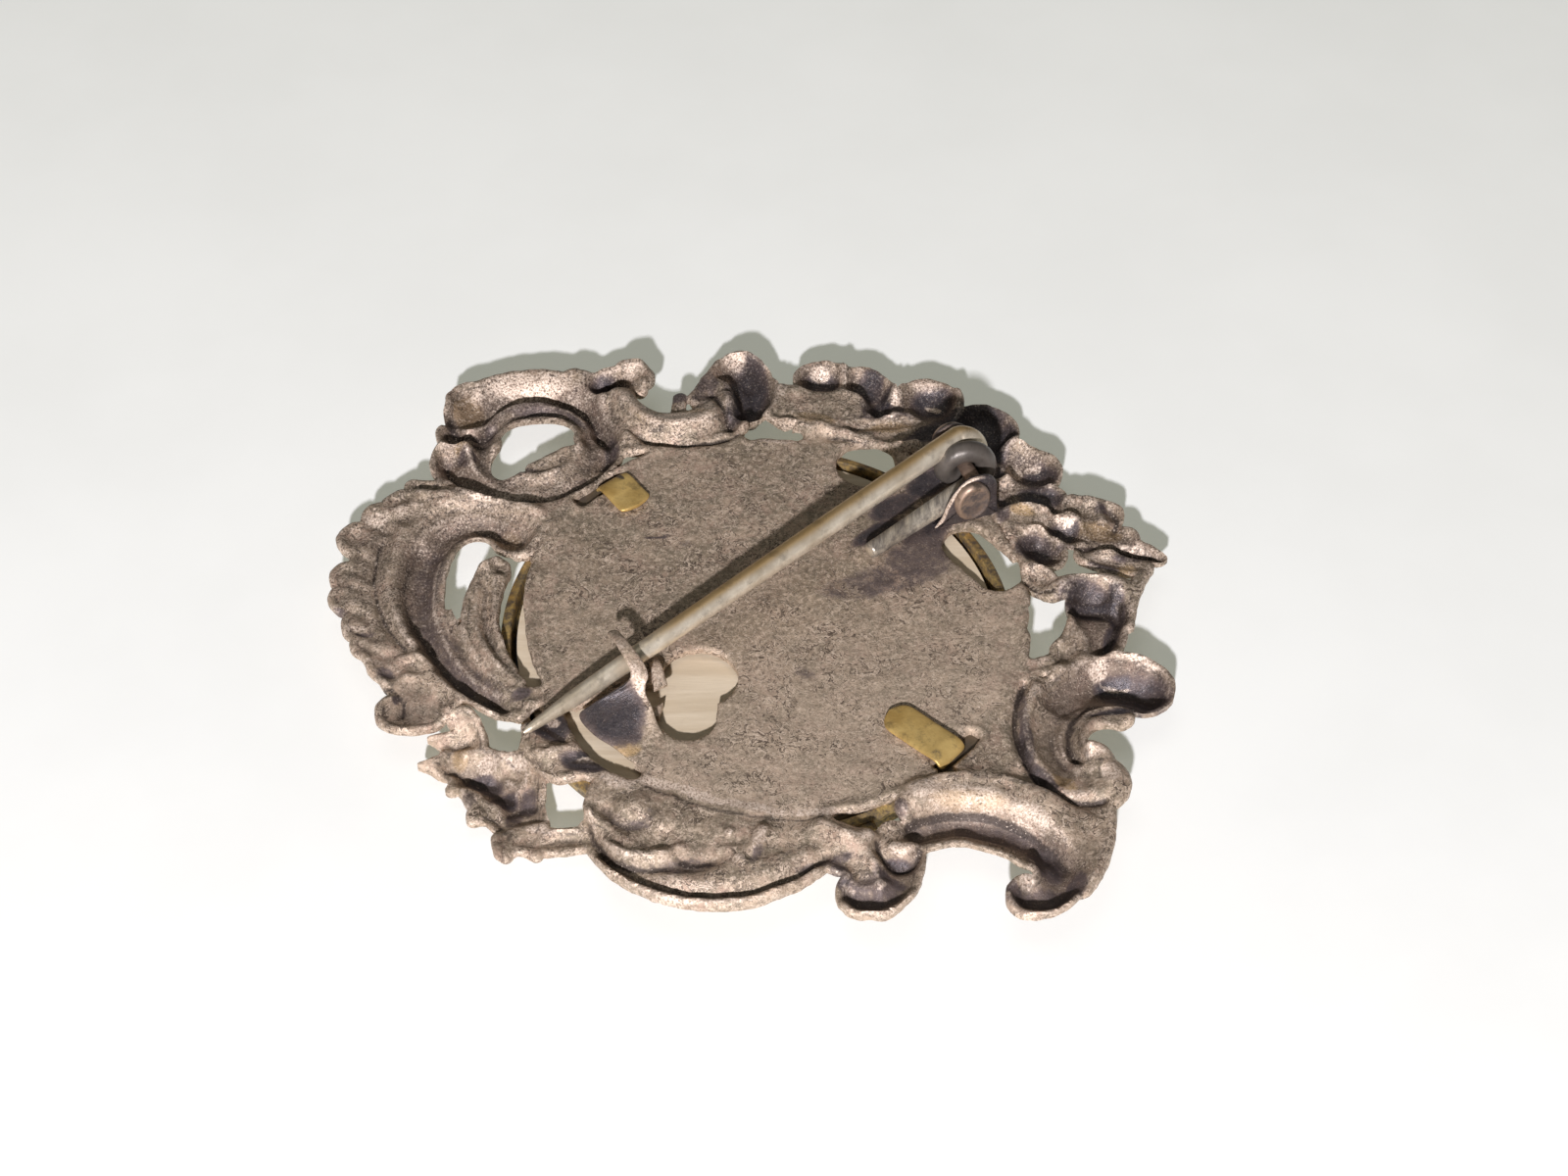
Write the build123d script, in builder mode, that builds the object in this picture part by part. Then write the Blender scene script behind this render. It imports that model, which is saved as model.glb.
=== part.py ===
from build123d import *
from collections import namedtuple
from math import cos, pi, radians, sin
import os

import numpy as np

# Driving dimensions, in millimetres. The brooch lies face down on z = 0.
sheet_thickness = 0.35      # stamped sheet
plate_radius = 13.2         # flat round back of the stamping
plate_top = 2.5             # the plate's back face above the table
plate_x, plate_y = 1.3, -0.35   # plate centre, from the middle of the outline
edge_droop = 0.25           # how far the outer edge bends towards the table
trough_gap = 0.25           # the pressed troughs start this far outside the bezel
trough_ramp = 0.9           # and reach full depth over this distance
mesh_cell = 0.72            # size of the facets of the stamping

bezel_x, bezel_y = -0.85, -1.0  # bezel centre, from the plate centre
bezel_radius = 12.9         # outside of the brass ring
bezel_wall = 0.3
bezel_lip = 0.7             # width of the lip that holds the stone in front
piece_gap = 0.05            # between pieces that rest on each other
tab_width = 1.9
tab_thickness = 0.25
slot_clearance = 0.25       # in front of and behind a tab in its slot

card_thickness = 0.4
card_gap = 0.3              # card edge to ring wall
stone_gap = 0.2             # stone edge to ring wall
stone_rim = 0.6             # thickness of the stone's edge
stone_dome = 0.35           # height of the dome on the stone's face

wire_radius = 0.57          # pin wire
rivet_radius = 0.4
rivet_head_radius = 0.95
rivet_head_height = 0.4
rivet_height = 1.95         # rivet axis above the plate
hinge_x, hinge_y = 10.0, 8.55   # middle of the rivet, from the plate centre
hinge_angle = -70.1         # direction of the rivet axis in plan, in degrees
lower_ear, upper_ear = 2.0, -1.65   # inner faces of the two ears along the rivet
ear_radius = 1.1            # round top of an ear
ear_foot = 1.35             # half the width of an ear's foot
ear_clearance = 0.06        # rivet in its hole

coil_radius = 1.05          # wire centre line round the rivet
coil_pitch = 1.15           # sideways step of one turn
stem_shift = -0.95          # where on the rivet the stem leaves the coil
stem_angle = 219.3          # direction of the stem in plan, in degrees
stem_length = 28.3
tail_length = 6.9
catch_height = 1.2          # wire centre above the plate, inside the catch
catch_distance = 21.8       # from the coil to the catch, along the stem
tail_height = 0.62
tip_radius = 0.12

# One pressed scroll, leaf or lobe: an arc through three points, its half-width at
# each of them, and how deep it is pressed away from the back (minus: towards it).
Press = namedtuple("Press", "x0 y0 x1 y1 x2 y2 w0 w1 w2 depth")
# One opening: the same arc and half-widths.
Gap = namedtuple("Gap", "x0 y0 x1 y1 x2 y2 w0 w1 w2")

presses = {
    "loop top": Press(-16.9, 14.6, -12.9, 16.6, -9.3, 13.0, 1.4, 1.35, 1.2, 0.9),
    "loop upper half": Press(-9.9, 11.9, -12.9, 14.9, -15.9, 11.9, 0.95, 0.95, 0.95, 0.7),
    "loop lower half": Press(-15.9, 11.9, -12.9, 8.9, -9.9, 11.9, 0.95, 0.95, 0.95, 0.7),
    "loop underside": Press(-17.5, 10.9, -13.5, 8.7, -9.3, 11.2, 1.1, 1.0, 1.1, 0.8),
    "loop end": Press(-16.9, 15.6, -16.9, 15.0, -16.9, 14.5, 1.35, 1.35, 1.35, 0.9),
    "loop side bead": Press(-17.7, 13.0, -17.6, 12.8, -17.5, 12.6, 0.9, 0.9, 0.9, 0.5),
    "loop side leaf": Press(-17.5, 11.2, -17.5, 10.7, -17.4, 10.3, 1.1, 1.2, 1.1, 0.5),
    "loop foot bead": Press(-19.4, 9.0, -18.9, 8.9, -18.2, 8.8, 0.5, 0.6, 0.7, 0.2),
    "curl": Press(-9.7, 17.0, -8.6, 17.3, -7.7, 17.75, 0.95, 0.95, 0.8, 0.8),
    "curl tongue": Press(-7.6, 17.2, -7.4, 16.8, -7.3, 16.4, 0.45, 0.45, 0.45, 0.0),
    "curl root": Press(-11.2, 17.2, -10.3, 16.6, -9.5, 15.4, 0.8, 1.0, 0.9, 0.0),
    "top scroll": Press(-8.5, 15.7, -5.6, 13.35, -2.9, 15.0, 0.75, 1.0, 1.1, -0.5),
    "top scroll tongue": Press(-5.35, 14.4, -5.3, 15.0, -5.25, 15.6, 0.4, 0.4, 0.4, 0.0),
    "top scroll root": Press(-9.2, 13.6, -8.6, 12.6, -7.2, 12.3, 0.7, 0.9, 0.8, 0.0),
    "tall lobe": Press(-2.1, 18.0, -1.35, 16.9, -1.4, 14.6, 1.2, 1.4, 1.0, 1.2),
    "tall lobe flank": Press(-2.9, 18.2, -3.3, 16.9, -4.0, 15.6, 0.6, 0.9, 0.8, 0.0),
    "fan": Press(0.9, 14.9, 2.4, 15.0, 3.9, 14.9, 1.7, 1.75, 1.7, -0.1),
    "shell one": Press(2.3, 17.2, 2.7, 17.25, 3.2, 17.2, 1.3, 1.4, 1.3, 1.0),
    "shell two": Press(4.6, 17.0, 5.6, 16.3, 5.75, 14.9, 1.2, 1.1, 0.8, 1.0),
    "shell bead": Press(6.7, 15.4, 6.8, 15.2, 6.9, 15.0, 0.8, 0.8, 0.8, 0.6),
    "shell three": Press(8.3, 15.6, 8.6, 15.5, 8.9, 15.3, 1.6, 1.65, 1.6, 1.0),
    "shell leaf": Press(4.6, 13.1, 7.0, 13.4, 9.6, 14.0, 0.8, 1.1, 1.0, 0.4),
    "shell four": Press(11.3, 13.6, 11.5, 13.4, 11.7, 13.1, 1.7, 1.75, 1.7, 1.2),
    "hinge hollow": Press(9.6, 12.4, 10.9, 11.9, 12.1, 10.7, 1.1, 1.3, 1.3, 0.9),
    "shell five": Press(13.2, 10.6, 13.6, 10.4, 14.0, 10.2, 1.5, 1.6, 1.55, 1.1),
    "shell six": Press(12.3, 8.6, 13.5, 8.5, 14.6, 8.1, 1.2, 1.2, 1.1, 0.7),
    "flower root": Press(12.4, 6.9, 13.2, 6.5, 14.0, 6.2, 1.0, 1.1, 1.0, -0.2),
    "flower upper": Press(15.0, 5.8, 15.2, 5.7, 15.5, 5.6, 1.0, 1.0, 1.0, 0.8),
    "flower lower": Press(13.9, 4.5, 14.1, 4.3, 14.3, 4.1, 1.1, 1.15, 1.1, 0.9),
    "crest upper": Press(15.9, 7.5, 16.8, 7.2, 17.7, 7.0, 0.85, 1.0, 0.9, 0.3),
    "crest middle": Press(16.4, 5.8, 17.4, 5.4, 18.4, 5.2, 1.1, 1.25, 0.9, 0.4),
    "crest point": Press(18.4, 4.4, 19.4, 4.2, 20.35, 3.95, 0.9, 0.75, 0.25, 0.5),
    "crest lower": Press(16.4, 4.1, 17.4, 3.7, 18.8, 3.3, 0.7, 0.75, 0.7, 0.3),
    "crest side": Press(19.6, 3.2, 18.7, 1.5, 18.1, -0.6, 0.45, 0.5, 0.5, 0.0),
    "spout bead": Press(13.3, 2.3, 13.6, 2.2, 13.9, 2.1, 0.85, 0.85, 0.85, 0.3),
    "spout": Press(14.3, 1.5, 16.2, 1.9, 17.9, 1.6, 0.6, 0.6, 0.8, -0.2),
    "spout root": Press(16.4, 0.8, 16.5, -1.0, 15.4, -2.9, 1.4, 1.6, 1.5, 0.6),
    "right lobe": Press(18.4, -4.7, 16.4, -4.4, 14.4, -5.6, 1.75, 1.6, 1.3, 1.0),
    "right scroll": Press(14.4, -5.6, 13.3, -8.0, 14.4, -10.6, 1.5, 1.45, 1.3, 0.9),
    "right inner rim": Press(17.2, -6.7, 15.1, -7.4, 15.0, -9.4, 0.7, 0.6, 0.7, 0.3),
    "right bead upper": Press(15.6, -9.3, 15.7, -9.3, 15.9, -9.4, 0.75, 0.75, 0.75, -0.3),
    "right bead lower": Press(15.5, -11.3, 16.3, -11.1, 16.3, -10.3, 1.1, 1.0, 0.9, -0.2),
    "shoulder": Press(7.0, -12.2, 10.5, -11.9, 13.5, -13.2, 1.2, 1.3, 1.5, -0.4),
    "shoulder side": Press(15.0, -12.2, 14.9, -14.2, 14.1, -16.2, 1.5, 1.35, 1.2, 0.1),
    "arch": Press(6.9, -13.8, 9.8, -13.4, 12.8, -14.9, 1.0, 1.15, 1.2, 0.8),
    "arch hook": Press(13.1, -15.0, 13.4, -16.6, 12.0, -17.4, 1.2, 1.25, 1.15, 0.9),
    "left hook": Press(5.9, -14.3, 6.0, -16.0, 4.9, -17.3, 1.15, 1.1, 1.35, 0.5),
    "left hook end": Press(4.2, -17.3, 4.4, -17.2, 4.6, -17.2, 1.3, 1.4, 1.3, 0.9),
    "cartouche band": Press(-8.4, -14.2, -3.8, -17.0, 2.3, -14.7, 0.95, 1.1, 1.1, 0.5),
    "cartouche field": Press(-6.5, -12.8, -3.0, -14.2, 1.5, -13.5, 1.8, 1.9, 1.4, 0.15),
    "cartouche boss": Press(-6.6, -12.4, -6.5, -12.4, -6.4, -12.4, 1.25, 1.25, 1.25, -0.35),
    "cartouche root": Press(2.2, -13.8, 3.6, -14.6, 5.0, -15.0, 1.0, 1.1, 1.0, -0.2),
    "hook link": Press(2.6, -15.2, 3.3, -15.6, 4.2, -15.8, 0.7, 0.7, 0.7, 0.2),
    "rocaille": Press(-15.4, -9.7, -13.7, -11.2, -12.2, -13.3, 1.2, 1.75, 1.4, 0.3),
    "rocaille spike one": Press(-15.9, -8.6, -16.5, -8.3, -17.0, -8.2, 0.7, 0.4, 0.15, 0.0),
    "rocaille spike two": Press(-16.1, -10.0, -16.8, -9.9, -17.4, -9.8, 0.7, 0.4, 0.15, 0.0),
    "rocaille foot": Press(-12.1, -14.3, -10.4, -14.5, -8.6, -14.0, 0.9, 0.7, 0.8, 0.2),
    "rocaille bridge": Press(-12.6, -9.7, -11.2, -10.0, -9.8, -9.8, 0.9, 0.9, 0.9, 0.2),
    "rocaille side": Press(-12.3, -12.8, -12.1, -11.6, -12.2, -10.3, 1.0, 1.0, 1.0, 0.2),
    "catch dish one": Press(-10.9, -8.0, -10.7, -8.1, -10.5, -8.3, 1.0, 1.0, 1.0, 0.7),
    "catch dish two": Press(-9.5, -9.6, -9.1, -9.8, -8.6, -10.0, 0.75, 0.8, 0.75, 0.6),
    "catch root": Press(-8.3, -12.8, -8.2, -11.9, -7.9, -11.0, 0.9, 0.9, 0.9, 0.0),
    "gap strip": Press(-12.0, -7.9, -12.0, -8.8, -12.1, -9.6, 0.7, 0.75, 0.8, -0.1),
    "leaf strip": Press(-15.5, -7.0, -15.0, -8.0, -14.9, -9.2, 0.8, 0.7, 0.8, 0.0),
    "leaf arch": Press(-13.7, 5.2, -15.9, 6.6, -18.1, 4.4, 1.25, 1.3, 1.35, 0.8),
    "leaf channel": Press(-18.2, 4.4, -17.6, -0.9, -13.0, -6.2, 1.35, 1.35, 0.95, 0.9),
    "leaf field": Press(-19.5, 7.2, -20.5, 1.1, -16.9, -5.3, 1.6, 1.8, 1.5, 0.2),
    "leaf tip": Press(-20.9, 6.7, -20.8, 6.4, -20.7, 6.0, 1.1, 1.2, 1.2, 0.3),
    "leaf lobe one": Press(-21.9, 5.2, -21.7, 5.1, -21.4, 5.0, 1.2, 1.2, 1.2, 0.3),
    "leaf lobe two": Press(-22.2, 2.6, -21.9, 2.6, -21.6, 2.6, 1.0, 1.0, 1.0, 0.3),
    "leaf lobe three": Press(-21.9, 1.1, -21.6, 1.0, -21.3, 0.9, 1.15, 1.15, 1.15, 0.3),
    "leaf lobe four": Press(-21.1, -0.7, -20.8, -0.7, -20.5, -0.7, 1.1, 1.1, 1.1, 0.3),
    "leaf lobe five": Press(-20.6, -1.9, -20.4, -1.9, -20.1, -1.9, 1.0, 1.0, 1.0, 0.3),
    "leaf lobe six": Press(-19.6, -3.2, -19.4, -3.2, -19.1, -3.2, 1.05, 1.05, 1.05, 0.3),
    "leaf heel": Press(-18.6, -6.4, -18.0, -6.5, -17.2, -6.6, 1.25, 1.2, 1.0, 0.3),
    "leaf inner": Press(-15.3, 2.6, -15.2, -1.0, -13.3, -4.8, 0.7, 1.1, 0.8, 0.2),
    "leaf root": Press(-13.6, -5.9, -12.7, -5.8, -11.8, -5.6, 0.7, 0.7, 0.7, 0.0),
    "leaf link": Press(-18.6, 8.2, -15.3, 7.7, -12.2, 6.7, 0.8, 0.7, 1.1, -0.1),
    "slot web": Press(-10.0, 10.9, -11.0, 9.2, -11.9, 7.0, 1.2, 1.3, 1.2, 0.0),
    "arch web": Press(-12.3, 6.6, -12.9, 5.7, -13.2, 4.9, 0.8, 0.75, 0.6, 0.0),
    "link web": Press(-18.9, 7.6, -18.4, 6.9, -17.8, 6.4, 0.6, 0.6, 0.6, 0.1),
    "top web": Press(-9.2, 12.1, -6.0, 12.3, -2.4, 13.1, 0.9, 0.9, 1.0, 0.0),
    "fan web": Press(1.9, 13.7, 3.2, 13.3, 4.7, 12.9, 0.6, 0.7, 0.7, 0.0),
    "hinge web": Press(5.9, 12.4, 8.6, 12.0, 11.1, 9.7, 1.0, 1.5, 1.6, 0.0),
    "ear web": Press(11.5, 9.2, 12.2, 7.8, 12.8, 6.4, 1.2, 1.1, 0.7, 0.0),
    "right web": Press(12.1, -3.6, 11.9, -6.5, 10.3, -9.8, 1.0, 1.4, 1.6, 0.0),
    "corner web": Press(11.5, -10.4, 12.3, -10.7, 13.1, -11.0, 0.8, 0.8, 0.8, 0.0),
    "spout web": Press(12.9, -3.8, 13.5, -3.6, 14.1, -3.4, 0.6, 0.6, 0.6, 0.0),
    "side web": Press(12.3, 6.3, 12.95, 4.4, 13.45, 2.6, 0.5, 0.45, 0.5, 0.0),
}

gaps = {
    "loop hole": Gap(-13.1, 11.9, -12.95, 11.9, -12.8, 11.9, 2.05, 2.1, 2.05),
    "leaf hole": Gap(-15.8, 4.5, -16.4, 2.3, -16.6, 0.7, 0.7, 0.75, 0.45),
    "leaf slit": Gap(-13.05, 3.3, -13.4, -0.7, -11.95, -4.7, 0.4, 0.68, 0.35),
    "point hole": Gap(-13.4, -7.7, -13.3, -8.2, -13.2, -8.7, 0.95, 0.9, 0.7),
    "rocaille hole": Gap(-10.3, -11.6, -10.2, -12.3, -10.0, -12.9, 0.75, 0.9, 0.9),
    "tongue cut": Gap(-10.3, -6.8, -9.5, -8.2, -6.6, -9.9, 0.35, 0.45, 0.3),
    "heart upper": Gap(-3.8, -4.7, -3.7, -4.75, -3.6, -4.8, 1.7, 1.75, 1.7),
    "heart lower": Gap(-3.9, -5.8, -4.1, -6.5, -4.2, -7.1, 1.25, 1.2, 1.3),
    "hook cut": Gap(-5.2, -5.3, -6.2, -5.6, -7.3, -5.9, 0.5, 0.75, 0.9),
    "tongue hole": Gap(-8.9, -7.2, -7.9, -7.6, -7.0, -7.6, 1.2, 1.5, 1.3),
    "tongue heel": Gap(-8.4, -8.2, -7.6, -8.8, -7.0, -9.2, 0.9, 0.9, 0.6),
    "top slit": Gap(-1.3, 12.65, 0.0, 12.75, 1.2, 12.5, 0.4, 0.5, 0.4),
    "ear cut round": Gap(4.85, 10.35, 4.9, 10.35, 4.95, 10.35, 1.55, 1.6, 1.55),
    "ear cut oval": Gap(10.05, 4.5, 10.85, 3.55, 11.6, 2.6, 1.25, 1.3, 1.25),
    "crest gap": Gap(15.1, 2.8, 15.9, 2.75, 16.6, 2.7, 0.35, 0.4, 0.3),
    "spout gap": Gap(13.4, 0.2, 13.65, -1.0, 13.4, -2.5, 0.4, 0.75, 0.35),
    "shoulder slit": Gap(3.2, -13.0, 3.9, -13.1, 4.5, -13.1, 0.35, 0.5, 0.6),
}

# The brass tabs: direction from the bezel centre in degrees, length over the plate, and
# the direction and length of the slot in the plate.
Tab = namedtuple("Tab", "angle length slot_angle slot_length")
tabs = {"upper": Tab(128.4, 2.6, 130.6, 2.9), "lower": Tab(-41.5, 4.15, -40.2, 2.7)}
lug_angle = -68.6           # the lug bent outward under the sheet
lug_reach = 0.7
lug_width = 2.0

# The catch: a tongue cut from the plate, bent up and curled over the pin. Left and
# right end of each fold line, from the plate centre, and height of its middle.
Fold = namedtuple("Fold", "x0 y0 h0 x1 y1 h1")
catch_folds = {
    "root": Fold(-6.2, -10.1, -0.17, -4.9, -8.5, -0.17),
    "lift": Fold(-6.9, -9.7, -0.12, -5.4, -8.1, 0.0),
    "heel": Fold(-7.9, -9.2, 0.02, -5.75, -7.6, 0.4),
    "belly": Fold(-9.2, -8.5, 0.12, -6.0, -7.0, 0.85),
    "corner": Fold(-9.8, -7.4, 0.2, -6.3, -6.5, 1.2),
    "slope": Fold(-8.9, -6.6, 0.6, -6.3, -6.15, 1.5),
    "neck": Fold(-7.3, -6.15, 1.6, -6.2, -5.75, 1.75),
    "rise": Fold(-7.05, -5.7, 2.0, -6.4, -5.25, 2.0),
    "crown": Fold(-7.45, -4.95, 2.3, -6.9, -4.6, 2.3),
    "far": Fold(-7.85, -4.15, 2.3, -7.4, -3.85, 2.3),
    "curl": Fold(-8.15, -3.4, 1.95, -7.75, -3.15, 1.95),
    "end": Fold(-8.3, -3.05, 1.6, -7.95, -2.85, 1.6),
}
catch_thickness = 0.3

plate_bottom = plate_top - sheet_thickness
bezel_top = plate_bottom - piece_gap
half_sheet = sheet_thickness / 2


def arc_points(x0, y0, x1, y1, x2, y2, count=13):
    """Points on the circular arc through three points, or on the line if they are straight."""
    a, b, c = (complex(*p) for p in ((x0, y0), (x1, y1), (x2, y2)))
    turn = ((b - a) * (c - a).conjugate()).imag
    share = np.linspace(0, 1, count)
    if abs(turn) < 1e-3 * abs(c - a) ** 2:
        points = a + (c - a) * share
    else:
        w = (c - a) / (b - a)
        centre = (b - a) * (w - abs(w) ** 2) / (w - w.conjugate()) + a
        start = np.angle(a - centre)
        swing = np.angle((c - centre) / (a - centre)) % (2 * pi)
        if np.angle((b - centre) / (a - centre)) % (2 * pi) > swing:
            swing -= 2 * pi
        points = centre + abs(a - centre) * np.exp(1j * (start + swing * share))
    return np.stack([points.real, points.imag], axis=1)


def band(points, x, y):
    """Distance from the edge of a band along an arc, minus inside, and the half-width beside each point."""
    arc = arc_points(*points[:6])
    share = np.linspace(0, 1, len(arc))
    widths = np.interp(share, [0, 0.5, 1], points[6:9])
    edge = np.full(np.shape(x), 1e9)
    beside = np.zeros(np.shape(x))
    for (ax, ay), (bx, by), wa, wb in zip(arc, arc[1:], widths, widths[1:]):
        run = max((bx - ax) ** 2 + (by - ay) ** 2, 1e-9)
        t = np.clip(((x - ax) * (bx - ax) + (y - ay) * (by - ay)) / run, 0, 1)
        width = wa + t * (wb - wa)
        distance = np.hypot(x - ax - t * (bx - ax), y - ay - t * (by - ay)) - width
        nearer = distance < edge
        edge = np.where(nearer, distance, edge)
        beside = np.where(nearer, width, beside)
    return edge, beside


def outline(x, y):
    """Distance from the edge of the stamping, minus inside the metal."""
    metal = np.hypot(x, y) - plate_radius
    for press in presses.values():
        metal = np.minimum(metal, band(press, x, y)[0])
    for gap in gaps.values():
        metal = np.maximum(metal, -band(gap, x, y)[0])
    return metal


def smooth(value):
    """A soft step from 0 to 1."""
    value = np.clip(value, 0, 1)
    return value * value * (3 - 2 * value)


def relief(x, y):
    """Height of the sheet's back face over the plate's: pressed troughs, raised rolls and drooping edge."""
    low, high = np.zeros(np.shape(x)), np.zeros(np.shape(x))
    for press in presses.values():
        edge, width = band(press, x, y)
        bowl = 1 - (1 + np.clip(edge / width, -1, 0)) ** 2
        low = np.maximum(low, press.depth * bowl)
        high = np.maximum(high, -press.depth * bowl)
    outside = np.hypot(x - bezel_x, y - bezel_y) - bezel_radius - trough_gap
    free = smooth(outside / trough_ramp)
    droop = edge_droop * smooth(outside / (plate_radius / 2))
    return (high - low) * free - droop


def cut_mesh():
    """Triangles of the stamping in plan: a square grid, pulled to the outline and cut along it."""
    xs = np.arange(-24, 22, mesh_cell)
    ys = np.arange(-20, 21, mesh_cell)
    gx, gy = np.meshgrid(xs, ys)
    x, y = gx.ravel(), gy.ravel()
    edge = outline(x, y)
    step = 0.02
    slope_x = (outline(x + step, y) - outline(x - step, y)) / (2 * step)
    slope_y = (outline(x, y + step) - outline(x, y - step)) / (2 * step)
    size = np.maximum(slope_x**2 + slope_y**2, 0.25)
    near = abs(edge) < 0.38 * mesh_cell
    x = np.where(near, x - edge * slope_x / size, x)
    y = np.where(near, y - edge * slope_y / size, y)
    side = np.where(near, 0, np.sign(edge)).astype(int)
    columns = len(xs)
    points = [tuple(p) for p in np.stack([x, y], axis=1)]
    crossings = {}

    def crossing(a, b):
        """The point where an edge of the grid leaves the metal."""
        key = (min(a, b), max(a, b))
        if key not in crossings:
            share = edge[a] / (edge[a] - edge[b])
            crossings[key] = len(points)
            points.append((x[a] + share * (x[b] - x[a]), y[a] + share * (y[b] - y[a])))
        return crossings[key]

    triangles = []
    for row in range(len(ys) - 1):
        for column in range(columns - 1):
            a = row * columns + column
            b, c, d = a + 1, a + columns + 1, a + columns
            halves = ((a, b, c), (a, c, d)) if (row + column) % 2 else ((a, b, d), (b, c, d))
            for corners in halves:
                sides = [side[k] for k in corners]
                if max(sides) <= 0 and min(sides) < 0:
                    triangles.append(corners)
                elif max(sides) == 0:
                    cx, cy = (sum(points[k][i] for k in corners) / 3 for i in (0, 1))
                    if outline(np.array([cx]), np.array([cy]))[0] < 0:
                        triangles.append(corners)
                elif min(sides) < 0:
                    shape = []
                    for k, following in zip(corners, corners[1:] + corners[:1]):
                        if side[k] <= 0:
                            shape.append(k)
                        if side[k] * side[following] < 0:
                            shape.append(crossing(k, following))
                    triangles += [(shape[0], p, q) for p, q in zip(shape[1:], shape[2:])]
    return np.array(points), np.array(triangles)


def mesh_edges(triangles):
    """Each directed edge of the triangles, with the number of its triangle."""
    return {(t[i], t[(i + 1) % 3]): n for n, t in enumerate(triangles) for i in range(3)}


def largest_sheet(triangles):
    """The largest group of triangles that hang together by their edges."""
    owner = mesh_edges(triangles)
    left, sheets = set(range(len(triangles))), []
    while left:
        queue = [left.pop()]
        sheet = list(queue)
        while queue:
            t = triangles[queue.pop()]
            for i in range(3):
                other = owner.get((t[(i + 1) % 3], t[i]))
                if other in left:
                    left.remove(other)
                    queue.append(other)
                    sheet.append(other)
        sheets.append(sheet)
    return [triangles[n] for n in max(sheets, key=len)]


def tidy_mesh(points, triangles):
    """One piece of sheet: no slivers on its rim, no loose bits, no two parts hanging on one point."""
    points, triangles = [tuple(p) for p in points], [tuple(int(k) for k in t) for t in triangles]
    for _ in range(3):
        owner = mesh_edges(triangles)
        kept = []
        for a, b, c in triangles:
            (ax, ay), (bx, by), (cx, cy) = points[a], points[b], points[c]
            area = ((bx - ax) * (cy - ay) - (by - ay) * (cx - ax)) / 2
            rim = any(edge not in owner for edge in ((b, a), (c, b), (a, c)))
            if area > 0.006 or (area > 1e-4 and not rim):
                kept.append((a, b, c))
        triangles = kept
    triangles = largest_sheet(triangles)
    owner = mesh_edges(triangles)
    around = {}
    for n, t in enumerate(triangles):
        for k in t:
            around.setdefault(k, []).append(n)
    for k, ring in around.items():
        ring = set(ring)
        fans = []
        while ring:
            queue = [ring.pop()]
            fan = list(queue)
            while queue:
                t = triangles[queue.pop()]
                for i in range(3):
                    if k in (t[i], t[(i + 1) % 3]):
                        other = owner.get((t[(i + 1) % 3], t[i]))
                        if other in ring:
                            ring.remove(other)
                            queue.append(other)
                            fan.append(other)
            fans.append(fan)
        if len(fans) > 1:
            for fan in fans:
                corners = np.array([points[j] for n in fan for j in triangles[n]])
                pull = corners.mean(axis=0) - points[k]
                pull *= 0.06 / max(np.hypot(*pull), 0.06)
                points.append(tuple(np.array(points[k]) + pull))
                for n in fan:
                    triangles[n] = tuple(len(points) - 1 if j == k else j for j in triangles[n])
    used = sorted({k for t in triangles for k in t})
    number = {k: n for n, k in enumerate(used)}
    return np.array([points[k] for k in used]), [tuple(number[k] for k in t) for t in triangles]


def rim_loops(triangles):
    """The closed loops of edges round a set of triangles."""
    owner = mesh_edges(triangles)
    after = {a: b for a, b in owner if (b, a) not in owner}
    loops = []
    while after:
        start, k = after.popitem()
        loop = [start]
        while k != start:
            loop.append(k)
            k = after.pop(k)
        loops.append(loop)
    return loops


def flat_part(triangles, level):
    """The triangles of the level plate that have one clean rim, and all the others."""
    flat = largest_sheet([t for t in triangles if max(abs(level[k]) for k in t) < 1e-9])
    while True:
        owner = mesh_edges(flat)
        ends = [a for a, b in owner if (b, a) not in owner]
        pinched = {k for k in ends if ends.count(k) > 1}
        if not pinched:
            break
        flat = largest_sheet([t for t in flat if not pinched & set(t)])
    chosen = set(flat)
    return flat, [t for t in triangles if t not in chosen]


def loop_area(loop, points):
    """Signed area of a loop in plan."""
    x, y = points[loop, 0], points[loop, 1]
    return float(np.sum(x * np.roll(y, -1) - y * np.roll(x, -1)) / 2)


def solid_from(faces):
    """A solid from the flat faces that close it."""
    return Solid(Shell(faces))


def polygon(corners):
    """A flat face through its corners."""
    return Face(Wire.make_polygon([tuple(float(v) for v in c) for c in corners], close=True))


def stamping(points, triangles):
    """The stamped sheet as a solid: back, front and cut edges."""
    level = relief(points[:, 0], points[:, 1])
    flat, shaped = flat_part(triangles, level)
    back = np.column_stack([points[:, 0] + plate_x, points[:, 1] + plate_y, level + plate_top])
    front = back - np.array([0, 0, sheet_thickness])
    loops = sorted(rim_loops(flat), key=lambda loop: -abs(loop_area(loop, points)))
    faces = []
    for side in (back, front):
        wires = [Wire.make_polygon([tuple(side[k]) for k in loop], close=True) for loop in loops]
        faces.append(Face(wires[0], wires[1:]))
        faces += [polygon(side[list(t)]) for t in shaped]
    owner = mesh_edges(triangles)
    for a, b in owner:
        if (b, a) not in owner:
            faces.append(polygon([back[a], back[b], front[b], front[a]]))
    return solid_from(faces)


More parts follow.
